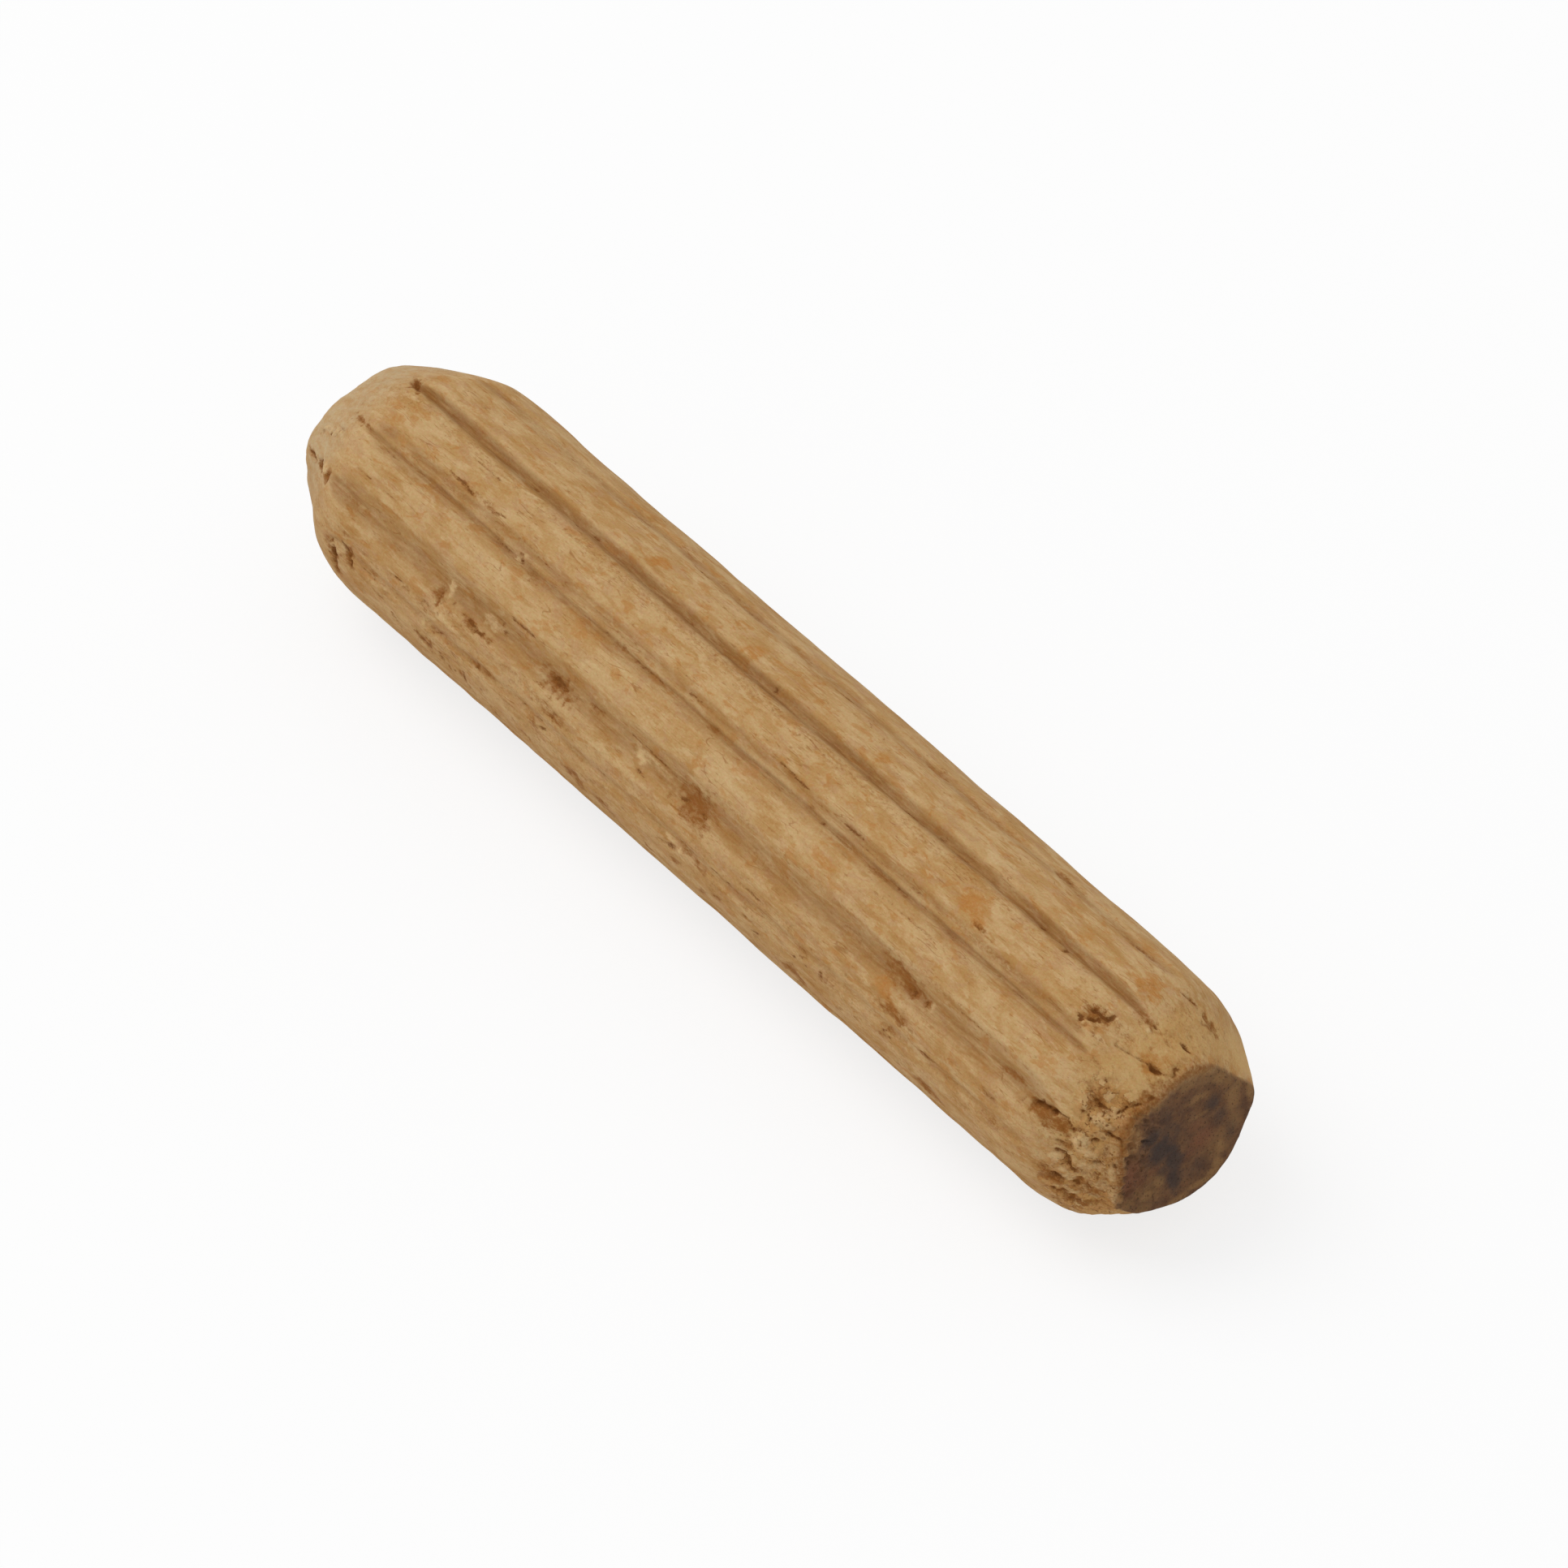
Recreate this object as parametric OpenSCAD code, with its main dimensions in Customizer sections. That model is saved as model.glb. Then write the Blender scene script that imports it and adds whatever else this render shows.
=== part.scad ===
// Fluted wooden dowel pin, one piece of hardwood: turned, pressed with glue flutes and chamfered.
// It lies along X with its trimmed end at +X, and Z points up. The origin is the middle of its axis.
// A flute runs along the very bottom, so the pin rests on the two lands beside it.
// All lengths are in millimetres and all angles in degrees.

/* [Pin] */
// Diameter over the lands
pin_d = 8; // [6:0.1:16]
// Length from end face to end face
pin_length = 40; // [20:1:120]

/* [Trimmed end, at +X] */
// Diameter of the end face, out to its unrounded edge
trim_face_d = 5.1; // [4.2:0.1:5.6]
// Length of the chamfer, measured along the pin
trim_chamfer = 2.1; // [1.2:0.1:3]
// Radius of the edge between end face and chamfer
trim_rim_round = 0.3; // [0.1:0.05:0.6]
// Radius of the soft shoulder between chamfer and lands
trim_shoulder_round = 4; // [1:0.1:4]

/* [Nosed end, at -X] */
// Diameter of the end face, out to its unrounded edge
nose_face_d = 4.5; // [4:0.1:5]
// Length of the chamfer, measured along the pin
nose_chamfer = 3.2; // [2.4:0.1:4]
// Radius of the edge between end face and chamfer
nose_rim_round = 1.4; // [0.2:0.1:1.6]
// Radius of the soft shoulder between chamfer and lands
nose_shoulder_round = 4; // [1:0.1:4]

/* [Flutes] */
// Number of flutes round the pin
flute_count = 12; // [8:1:14]
// Depth of a narrow flute below the lands
narrow_depth = 0.32; // [0.2:0.01:0.45]
// Opening of a narrow flute, measured round the pin in degrees
narrow_opening = 8.5; // [6:0.5:11]
// Depth of a broad flute below the lands
broad_depth = 0.28; // [0.2:0.01:0.45]
// Opening of a broad flute, measured round the pin in degrees
broad_opening = 17; // [12:0.5:20]
// Depth of a faint flute below the lands
faint_depth = 0.16; // [0.1:0.01:0.3]
// Opening of a faint flute, measured round the pin in degrees
faint_opening = 9; // [6:0.5:11]
// Radius of the softened edge between a flute and its lands
land_edge_round = 0.1; // [0.04:0.01:0.15]

/* [Hidden] */
$fn = 144;

pin_r = pin_d / 2;
// How far cutters reach past the pin
cutter_overrun = 1;
// Angle at which a rounded edge runs into the faces beside it
run_in = 8;

// Depth and opening of each kind of flute
NARROW = [narrow_depth, narrow_opening];
BROAD = [broad_depth, broad_opening];
FAINT = [faint_depth, faint_opening];

// The kinds of flute in turn, from the top of the pin round over -Y, and how far
// each one strays from the even pitch
flute_kinds = [NARROW, BROAD, BROAD, FAINT, FAINT, NARROW,
               NARROW, BROAD, NARROW, NARROW, FAINT, FAINT];
flute_strays = [-2.5, 0, 0, -5.5, -4, -2, 0, 0, -0.5, -1, -1, -1.5];

// Radius of the round groove that has this depth and opens this wide at the lands
function groove_round(depth, opening) =
    let (floor_r = pin_r - depth)
    let (flat_r = pin_r * cos(opening / 2))
    (pin_r * pin_r + floor_r * floor_r - 2 * floor_r * flat_r) / (2 * (flat_r - floor_r));

// Third side of a triangle, from two sides and the angle between them
function third_side(a, b, angle) = sqrt(a * a + b * b - 2 * a * b * cos(angle));

// Angle opposite side c of a triangle with sides a, b and c
function opposite_angle(a, b, c) = acos((a * a + b * b - c * c) / (2 * a * b));

function mirrored(point) = [point[0], -point[1]];

// Section of one flute that opens towards +X: a round groove, with both its edges
// rounded over into the lands
module flute_section(depth, opening) {
    groove_r = groove_round(depth, opening);
    groove_centre = pin_r - depth + groove_r;
    edge_centre = third_side(pin_r, land_edge_round, run_in);
    edge_to_groove = third_side(groove_r, land_edge_round, 180 - run_in);
    edge_angle = opposite_angle(edge_centre, groove_centre, edge_to_groove);
    edge_way = [cos(edge_angle), sin(edge_angle)];
    edge = edge_centre * edge_way;
    outside = (pin_r + cutter_overrun) * edge_way;
    translate([groove_centre, 0])
        circle(r = groove_r);
    difference() {
        polygon([[groove_centre, 0], edge, outside, mirrored(outside), mirrored(edge)]);
        for (centre = [edge, mirrored(edge)])
            translate(centre)
                circle(r = land_edge_round);
    }
}

// Cutter for one flute along the top of the pin
module flute(kind) {
    translate([pin_length / 2 + cutter_overrun, 0, 0])
        rotate([0, -90, 0])
            linear_extrude(pin_length + 2 * cutter_overrun)
                flute_section(kind[0], kind[1]);
}

// All the flutes, each at its own place round the pin
module flutes() {
    for (i = [0 : flute_count - 1]) {
        stray = flute_strays[i % len(flute_strays)];
        rotate([i * 360 / flute_count + stray, 0, 0])
            flute(flute_kinds[i % len(flute_kinds)]);
    }
}

// What rounding takes off the corner of an outline that runs from a to b
module corner_waste(a, corner, b, radius) {
    back = (a - corner) / norm(a - corner);
    on = (b - corner) / norm(b - corner);
    half_angle = acos(back * on) / 2;
    inward = (back + on) / norm(back + on);
    to_centre = radius * cos(run_in) / sin(half_angle);
    foot = to_centre * cos(half_angle);
    difference() {
        polygon([corner + back * foot, corner - inward * cutter_overrun, corner + on * foot]);
        translate(corner + inward * to_centre)
            circle(r = radius);
    }
}

// Half outline of one end, from the middle of the pin up to the end face
module end_outline(face_d, chamfer, rim_round, shoulder_round) {
    tip = [0, pin_length / 2];
    rim = [face_d / 2, pin_length / 2];
    shoulder = [pin_r, pin_length / 2 - chamfer];
    waist = [pin_r, 0];
    difference() {
        polygon([[0, 0], waist, shoulder, rim, tip]);
        corner_waste(tip, rim, shoulder, rim_round);
        corner_waste(rim, shoulder, waist, shoulder_round);
    }
}

// The pin as turned, before it is fluted
module turned_blank() {
    rotate([0, 90, 0])
        rotate_extrude() {
            end_outline(trim_face_d, trim_chamfer, trim_rim_round, trim_shoulder_round);
            mirror([0, 1])
                end_outline(nose_face_d, nose_chamfer, nose_rim_round, nose_shoulder_round);
        }
}

module dowel_pin() {
    color("burlywood")
        difference() {
            turned_blank();
            flutes();
        }
}

dowel_pin();
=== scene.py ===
"""Looks of a fluted hardwood dowel pin, lying on a plain pale floor under soft light."""

import math
from functools import cached_property
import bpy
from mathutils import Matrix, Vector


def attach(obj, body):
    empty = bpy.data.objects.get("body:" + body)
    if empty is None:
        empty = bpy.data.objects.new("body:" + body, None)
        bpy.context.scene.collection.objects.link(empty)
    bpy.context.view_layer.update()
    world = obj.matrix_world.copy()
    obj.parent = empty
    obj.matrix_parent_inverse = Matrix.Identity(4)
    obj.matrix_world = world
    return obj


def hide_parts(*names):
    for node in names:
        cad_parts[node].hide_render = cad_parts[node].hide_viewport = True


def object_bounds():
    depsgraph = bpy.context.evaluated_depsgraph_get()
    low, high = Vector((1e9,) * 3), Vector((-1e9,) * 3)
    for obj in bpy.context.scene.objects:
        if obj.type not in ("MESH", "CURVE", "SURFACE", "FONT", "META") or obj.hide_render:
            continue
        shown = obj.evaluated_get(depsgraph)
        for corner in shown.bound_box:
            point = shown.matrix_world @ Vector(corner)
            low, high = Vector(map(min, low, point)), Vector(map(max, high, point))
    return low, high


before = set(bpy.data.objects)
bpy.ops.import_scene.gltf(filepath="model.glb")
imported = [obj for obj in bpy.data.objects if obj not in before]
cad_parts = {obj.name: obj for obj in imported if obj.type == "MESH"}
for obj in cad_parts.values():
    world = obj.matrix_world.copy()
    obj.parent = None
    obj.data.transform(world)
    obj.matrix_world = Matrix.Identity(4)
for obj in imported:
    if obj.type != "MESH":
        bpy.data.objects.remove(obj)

from types import SimpleNamespace
from typing import NamedTuple

import bpy
import numpy as np
from bpy.props import FloatProperty, FloatVectorProperty, IntProperty, PointerProperty
from bpy.types import Operator, Panel, PropertyGroup
from mathutils import Matrix, Vector

bl_info = {
    "name": "Fluted Dowel Pin",
    "version": (1, 0, 0),
    "blender": (4, 5, 0),
    "location": "3D View > Sidebar > Dowel Pin",
    "description": "Makes a worn, fluted wooden dowel pin and the plain stage it lies on",
    "category": "Object",
}

CAD_LOW, CAD_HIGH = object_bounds()
CAD_NODE = "dowel_pin"
PIN_NAME = "fluted_pin"
MM = 0.001

# A place on the pin is how far it lies along the pin from its middle in mm, positive towards the
# trimmed end at +X, and its angle round the pin in degrees from the top, positive towards +Y.

# Bowls that make up the flutes: angle, depth in mm, reach in degrees towards greater angles and
# towards lesser ones, and share of grime and painted shade
SEEN_BOWLS = [
    (3.0, 0.19, 4.0, 8.4, 0.38), (2.2, 0.10, 3.4, 4.4, 0.34), (-30.0, 0.12, 2.0, 2.2, 0.28),
    (-28.5, 0.11, 9.0, 9.5, 0.25), (-24.0, 0.04, 4.4, 3.4, 0.28), (-34.5, 0.02, 3.5, 5.0, 0.16),
    (-60.0, 0.12, 9.5, 8.5, 0.22), (-62.5, 0.14, 13.8, 9.5, 0.31), (-52.0, 0.02, 3.0, 2.6, 0.20),
    (-84.5, 0.10, 4.6, 5.0, 0.18), (32.0, 0.09, 5.5, 8.5, 0.34),
]
HIDDEN_BOWLS = [
    (-116.0, 0.16, 5.0, 5.0, 0.3), (-148.0, 0.32, 4.8, 4.8, 0.5), (180.0, 0.32, 4.8, 4.8, 0.5),
    (150.0, 0.28, 9.0, 9.0, 0.6), (120.5, 0.32, 4.8, 4.8, 0.4), (91.0, 0.32, 4.8, 4.8, 0.6),
    (61.0, 0.16, 5.0, 5.0, 0.3),
]
# Flats (and swellings, where negative) of the uneven blank: place along the pin, angle, length,
# width and depth in mm
UNEVEN = [
    (17.1, 62, 2.4, 4.0, 0.05), (18.7, 68, 1.6, 2.6, 0.11), (12.0, 60, 3.0, 3.0, 0.03),
    (3.0, 60, 7.0, 4.0, -0.03), (-9.5, 60, 3.0, 3.0, 0.03), (-14.5, 60, 2.6, 4.0, -0.03),
    (-16.7, 60, 2.0, 4.0, 0.01), (-17.2, 37, 2.0, 3.0, 0.1), (-19.2, -20, 1.6, 3.0, 0.07),
    (-19.5, -66, 1.6, 2.2, -0.1), (-17.2, -114, 2.6, 2.6, -0.05), (2.4, -120, 3.0, 3.0, 0.03),
    (-4.0, -122, 18.0, 4.0, 0.02), (6.0, -120, 4.0, 3.0, -0.03), (19.5, -118, 2.0, 3.0, 0.03),
    (-19.6, -4, 1.4, 2.8, 0.08), (-17.6, -97, 1.6, 2.2, -0.08), (17.9, -137, 1.4, 1.7, -0.08),
]
# Rim of the trimmed end face: angle, and distance from the axis in mm
RIM = [
    (-180, 2.45), (-160, 2.39), (-146, 2.48), (-133, 2.62), (-118, 2.70), (-105, 2.46), (-92, 2.34),
    (-75, 2.38), (-63, 2.54), (-52, 2.76), (-43, 2.70), (-31, 2.52), (-20, 2.42), (-8, 2.50), (6, 2.62),
    (18, 2.60), (30, 2.51), (44, 2.35), (60, 2.34), (74, 2.56), (82, 2.70), (89, 2.70), (98, 2.58),
    (108, 2.47), (118, 2.43), (130, 2.43), (142, 2.49), (154, 2.51), (166, 2.48),
]

# Marks on the wood by kind: place along the pin, angle, length and width in mm, strength, and
# turn in degrees where a mark doesn't lie along the grain
MARKS = {
    "dash": [
        (-19, -49, 0.3, 0.1, 0.4), (-19, -49.5, 0.25, 0.05, 0.6, 60), (-18.45, -46, 0.2, 0.1, 0.4),
        (-18.45, -45.6, 0.25, 0.06, 0.7, 60), (-18.2, -38.6, 0.5, 0.06, 0.4),
        (-18.15, -44.4, 0.22, 0.05, 0.6, 60), (-18.05, -43, 0.3, 0.1, 0.4),
        (-18.05, -40.6, 0.25, 0.05, 0.6, 60), (-17.85, -38.6, 0.2, 0.05, 0.5, 60),
        (-17.42, -4.5, 0.1, 0.25, 0.5), (-17.35, -29.2, 1, 0.08, 0.5), (-17.3, -13, 0.1, 0.3, 0.4),
        (-16.5, -8.3, 0.2, 0.08, 0.6), (-16.1, -46, 0.4, 0.08, 0.45), (-15.65, -46.2, 0.3, 0.07, 0.55),
        (-15.5, -32, 0.7, 0.07, 0.5), (-14.9, -14, 0.5, 0.05, 0.4), (-14.65, -46.2, 0.4, 0.07, 0.5),
        (-14.6, -77, 0.6, 0.08, 0.5), (-14.45, -86.3, 0.6, 0.08, 0.6, -6), (-14.25, -29.4, 0.4, 0.1, 0.6),
        (-14, -51, 0.8, 0.06, 0.5), (-13.7, -36, 0.5, 0.05, 0.4), (-13.6, -44, 0.7, 0.05, 0.4),
        (-13.13, -30, 1.8, 0.12, 0.35), (-13.1, -84, 0.35, 0.06, 0.45),
        (-13.05, -75.2, 0.75, 0.08, 0.75, -3), (-12.95, -75.3, 0.6, 0.1, 0.6),
        (-12.95, -20.7, 1.1, 0.11, 0.75, -3), (-12.7, -8.6, 1.5, 0.07, 0.6),
        (-12.54, -97.5, 0.2, 0.06, 0.5), (-12.4, -21.6, 0.6, 0.09, 0.7, -6), (-12.4, -41, 0.4, 0.05, 0.4),
        (-12.1, -9, 0.5, 0.1, 0.6), (-11.7, -74.9, 0.8, 0.12, 0.65), (-11.65, -74.5, 0.6, 0.12, 0.4),
        (-11.6, -96.8, 0.7, 0.14, 0.6, -16), (-11.6, -20.7, 0.4, 0.08, 0.5),
        (-11.3, -97, 0.5, 0.2, 0.5, -60), (-11.25, -64, 0.14, 0.5, 0.6), (-11.13, -21.7, 0.8, 0.07, 0.6),
        (-10.9, -85, 0.55, 0.09, 0.65, 30), (-10.9, -20.4, 0.5, 0.08, 0.6),
        (-10.85, -98.5, 0.3, 0.2, 0.5, -60), (-10.85, -97, 0.35, 0.12, 0.85, -60),
        (-10.65, -66, 0.3, 0.1, 0.6, -60), (-10.4, -12.5, 0.6, 0.05, 0.4),
        (-10.35, -56.3, 0.9, 0.09, 0.5, -3), (-10.2, 23.8, 0.5, 0.08, 0.5), (-10.2, -30.2, 0.9, 0.08, 0.5),
        (-10.2, -99.8, 0.3, 0.1, 0.85, 30), (-10.13, -29.4, 1, 0.09, 0.6, -3),
        (-10.05, -58.5, 0.5, 0.08, 0.6, -10), (-9.8, -101.5, 0.75, 0.13, 0.9, 80),
        (-9.75, -67.3, 0.7, 0.12, 0.85, -8), (-9.35, -28.2, 0.5, 0.1, 0.75, -48),
        (-9.2, -68.8, 0.6, 0.12, 0.8, 6), (-9.17, -28.4, 0.1, 0.4, 0.6), (-9.1, -12, 0.5, 0.05, 0.4),
        (-8.75, -56.6, 0.5, 0.08, 0.6, 6), (-8.53, -23.6, 0.9, 0.08, 0.5, -1), (-8.5, 29.5, 0.4, 0.1, 0.5),
        (-8.45, -58.9, 0.75, 0.11, 0.85, -47), (-8.3, -62, 0.4, 0.1, 0.6, -60),
        (-8.1, -15.5, 0.6, 0.05, 0.4, -3), (-7.7, -51.6, 1.4, 0.09, 0.85),
        (-6.75, -83.8, 0.3, 0.08, 0.8, 20), (-6.7, -9.5, 0.5, 0.05, 0.4), (-6.5, -26.5, 0.6, 0.06, 0.4),
        (-6.3, -66.8, 0.4, 0.12, 0.6, 45), (-6, -84.5, 0.3, 0.1, 0.8), (-5.9, -15, 0.5, 0.05, 0.4),
        (-5.8, -87.3, 0.35, 0.1, 0.85, 20), (-5.63, -24.6, 1.1, 0.07, 0.5, -2), (-5.3, -75, 0.3, 0.13, 0.6),
        (-5.2, 29, 0.8, 0.1, 0.7, 5), (-5.13, -29.2, 0.3, 0.08, 0.5), (-4.7, -19, 0.6, 0.05, 0.4),
        (-4.6, -45.6, 1.1, 0.06, 0.4, -2), (-4.15, -69.3, 0.5, 0.08, 0.4, 10),
        (-3.85, -58.6, 0.6, 0.1, 0.6, 6), (-3.6, 33.5, 0.8, 0.1, 0.4, 10), (-3.6, 1.8, 0.6, 0.1, 0.5),
        (-3.3, 29.5, 1.2, 0.1, 0.4), (-3.13, -29.7, 1.8, 0.12, 0.6), (-3, -84.2, 0.6, 0.08, 0.4),
        (-2.2, -9, 0.4, 0.05, 0.35), (-1.6, -20.5, 0.9, 0.07, 0.5), (-1.5, -33, 0.8, 0.06, 0.35),
        (-1.35, -67.8, 0.55, 0.13, 0.6, -8), (-1.08, -24.9, 1.1, 0.09, 0.7), (-1, 23, 1.1, 0.06, 0.3),
        (-0.95, -57.6, 2.1, 0.09, 0.8, -3.5), (-0.9, -80.4, 0.9, 0.07, 0.4, -2),
        (0.1, -70.5, 0.12, 0.25, 0.5), (0.55, -89.2, 0.22, 0.14, 0.8, 60), (0.6, -64.5, 0.45, 0.14, 0.7),
        (0.77, -88.3, 0.22, 0.13, 0.7, 50), (0.9, -16, 0.6, 0.05, 0.35), (1.25, -57.6, 0.9, 0.12, 0.6, -3),
        (1.3, 0.8, 0.7, 0.08, 0.4), (1.55, -64.4, 0.4, 0.13, 0.7, -20), (1.9, 28.1, 0.7, 0.08, 0.7, 5),
        (1.9, -18.7, 0.7, 0.06, 0.4), (2.1, -51.6, 1, 0.05, 0.4, -2), (2.4, -25.5, 0.9, 0.06, 0.4),
        (2.7, -82.6, 0.5, 0.08, 0.75), (3.1, -12, 0.5, 0.05, 0.35), (3.25, -83.5, 0.35, 0.08, 0.8, 10),
        (3.62, -22.6, 1.6, 0.09, 0.85, -2.5), (4.1, -93, 0.3, 0.1, 0.75), (4.4, -17, 0.6, 0.05, 0.4),
        (4.5, -77.5, 1.3, 0.12, 0.6, -3), (4.65, -97.8, 0.4, 0.12, 0.75, 20), (4.9, 17.5, 0.9, 0.06, 0.35),
        (5.3, -49, 0.5, 0.07, 0.45), (5.47, -29.9, 0.25, 0.1, 0.8), (5.8, 10, 0.3, 0.06, 0.7, -10),
        (6.3, -44.8, 1, 0.05, 0.3), (6.37, -23.6, 1, 0.09, 0.8), (6.4, 13, 0.2, 0.06, 0.5, -45),
        (6.47, -30.5, 1.2, 0.1, 0.5), (6.5, -91.8, 0.2, 0.09, 0.95, 45), (6.92, -87.8, 0.3, 0.08, 0.75, 30),
        (7.1, -90.6, 0.3, 0.08, 0.75, 30), (7.2, -26, 0.8, 0.06, 0.5), (7.55, -82.8, 0.3, 0.08, 0.75, 50),
        (7.72, -88.4, 0.3, 0.09, 0.95, 20), (7.95, -26.2, 0.4, 0.06, 0.5), (8.2, -47, 0.8, 0.05, 0.4, -4),
        (8.8, -14.5, 0.7, 0.05, 0.4), (8.95, -77.2, 0.25, 0.1, 0.9), (9.17, -29.9, 1, 0.1, 0.7),
        (9.67, -25.5, 0.6, 0.07, 0.6), (9.9, -15.3, 0.9, 0.06, 0.45), (10.4, -37, 3, 0.06, 0.5, -1),
        (10.85, -88.5, 0.35, 0.12, 0.8, 30), (10.9, -36.3, 2.6, 0.05, 0.4, -1),
        (11.1, -90, 0.25, 0.1, 0.85, 50), (11.2, -63.2, 1.2, 0.06, 0.5), (11.6, -30, 0.5, 0.08, 0.5),
        (12.05, 33, 0.4, 0.1, 0.6, -20), (12.1, -63.3, 0.1, 0.15, 0.7), (12.1, -61.8, 0.14, 0.3, 0.7),
        (12.2, -20.2, 0.8, 0.1, 0.6), (12.9, -82.6, 1.1, 0.1, 0.7), (13.4, -24, 0.8, 0.06, 0.4),
        (14.1, -52.7, 2.2, 0.1, 0.5), (14.8, -30.5, 0.7, 0.08, 0.5), (15.2, -37.5, 1.4, 0.05, 0.4, -1),
        (15.65, -75.1, 1.2, 0.2, 0.55, -2), (15.7, 28.5, 1.8, 0.2, 0.5), (16, -44, 1.2, 0.05, 0.35),
    ],
    "pit": [
        (-16.3, -93, 0.26, 0.6, 0.8, -10), (-16.25, -101, 0.2, 0.4, 0.6), (-14.85, 15.8, 0.2, 0.15, 0.6),
        (-11.2, -66.5, 0.16, 0.6, 0.55), (-11.15, 1.6, 0.3, 0.14, 0.6), (-9.2, 2, 0.25, 0.1, 0.6),
        (-9.1, -85.4, 0.25, 0.2, 0.6), (-9.02, 1.2, 0.3, 0.08, 0.6), (-8.27, 3, 0.3, 0.08, 0.9),
        (-5.75, -62.2, 0.3, 0.25, 0.7), (-5.6, -62.2, 0.75, 0.3, 0.75), (-5.4, -77.2, 0.25, 0.2, 0.6),
        (-5.2, -62.5, 0.25, 0.2, 0.6), (-3.52, 2.2, 0.4, 0.12, 0.5), (-1.92, 0.1, 0.5, 0.1, 0.6),
        (-1.75, -92.5, 0.16, 0.2, 0.5), (0.42, -90.3, 0.34, 0.16, 0.6, 12), (0.45, 4.2, 0.28, 0.2, 0.7),
        (0.75, -89.6, 0.14, 0.2, 0.5), (6.4, -92.9, 0.15, 0.1, 0.6), (6.8, -88.9, 0.2, 0.1, 0.6),
        (6.95, -71.5, 0.12, 0.12, 0.6), (7.18, 0.5, 1, 0.1, 0.7), (7.8, -89.4, 0.3, 0.12, 0.7, 10),
        (8.68, 2, 0.4, 0.15, 0.7), (8.95, -77.3, 0.25, 0.1, 0.4), (9.6, 1.2, 0.5, 0.12, 0.6),
        (11.1, -56.6, 0.7, 0.1, 0.6, -4), (11.4, 0.6, 0.4, 0.1, 0.5), (11.5, -62.6, 0.3, 0.2, 0.7),
        (13.43, 1.2, 0.3, 0.2, 0.8), (14.73, -1.5, 0.25, 0.2, 0.8), (16.75, -45.8, 0.1, 0.08, 0.5),
        (16.9, -66, 0.12, 0.15, 0.5), (17.2, -24.1, 0.1, 0.07, 0.4), (17.42, -63.9, 0.2, 0.12, 0.6),
        (17.6, -62.5, 0.6, 0.16, 0.8, 15), (17.72, -22.6, 0.12, 0.09, 0.7), (18.02, -91.7, 0.2, 0.16, 0.5),
        (18.05, -95, 0.1, 0.3, 0.6), (18.08, -61.8, 0.16, 0.14, 0.9), (18.3, -97, 0.25, 0.12, 0.8, -20),
        (18.38, 1.6, 0.12, 0.12, 0.6), (18.4, -11, 0.14, 0.12, 0.5), (18.43, -70.6, 0.12, 0.1, 0.6),
        (18.6, 2.8, 0.16, 0.14, 0.8), (18.62, 35.2, 0.16, 0.16, 0.6), (18.62, -110, 0.2, 0.12, 0.8, 30),
        (18.67, -112.8, 0.25, 0.2, 0.9), (18.69, -3.9, 0.2, 0.1, 0.4, -30), (18.71, -82, 0.14, 0.12, 0.8),
        (18.76, -86.7, 0.16, 0.16, 0.6), (18.76, -52.9, 0.12, 0.12, 0.8), (18.76, 16.2, 0.14, 0.14, 0.4),
        (18.78, -34, 0.12, 0.1, 0.6), (18.85, -115, 0.3, 0.14, 0.9), (18.86, 39.6, 0.14, 0.25, 0.5, -20),
        (18.88, -89.4, 0.2, 0.16, 0.7), (18.9, -99.3, 0.22, 0.2, 1), (18.96, 9.5, 0.2, 0.16, 0.4),
        (18.97, -35.8, 0.14, 0.12, 0.6), (19.03, -54.9, 0.12, 0.16, 0.8), (19.15, 19.7, 0.14, 0.14, 0.4),
        (19.2, -12, 0.14, 0.1, 0.7), (19.22, -55.4, 0.1, 0.14, 0.7), (19.3, -72, 0.1, 0.1, 0.4),
        (19.3, -10.8, 0.2, 0.16, 0.9), (19.5, -90, 0.12, 0.12, 0.4), (19.55, -51, 0.14, 0.12, 0.5),
        (19.72, 0, 0.14, 0.3, 0.8), (19.86, -81.6, 0.18, 0.14, 0.8),
    ],
    "stain": [
        (-19, -65, 0.5, 0.25, 0.7), (-18.15, -63, 0.45, 0.3, 0.9), (-18.1, -63, 0.9, 0.5, 0.4, 10),
        (-17.45, -28.8, 1, 0.2, 0.8, -4), (-17.4, -62, 0.3, 0.6, 0.9), (-17.3, 2.8, 0.4, 0.3, 1, -37),
        (-17.25, 3, 0.95, 0.3, 1, -37), (-16.6, -89.4, 0.6, 0.6, 0.6), (-16.25, -93, 0.5, 0.6, 1, -20),
        (-16.2, -101, 0.4, 0.6, 0.8), (-15.95, -61.3, 1, 0.4, 0.4), (-15.6, -75, 0.8, 0.2, 0.5, 5),
        (-15.45, -85.5, 0.3, 0.55, 1), (-15.3, -90, 0.5, 0.3, 0.8), (-14.8, -26.3, 1.2, 0.2, 0.35, 10),
        (-14.3, -84, 0.5, 0.14, 0.6), (-13.9, -93, 0.6, 0.2, 0.6, -10), (-13.8, -23.6, 1, 0.2, 0.45, 10),
        (-13.6, -88, 0.5, 0.15, 0.6), (-13.45, -64.3, 0.5, 0.1, 0.4), (-13.2, -98, 0.5, 0.2, 0.7, -40),
        (-12.6, -76.5, 0.6, 0.2, 0.7, 10), (-12.1, -20.8, 2.5, 0.2, 0.5), (-11.9, -96, 0.4, 0.16, 0.8, -50),
        (-11.7, -95.5, 0.9, 0.4, 0.4, 10), (-11.7, -78, 0.5, 0.2, 0.6, -30),
        (-11.55, -97, 0.45, 0.2, 0.8, -50), (-11.3, -94.5, 0.35, 0.14, 0.7, -50),
        (-11.25, -67.5, 0.36, 0.7, 0.85), (-11.1, -84.9, 0.8, 0.25, 0.5, 8),
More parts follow.
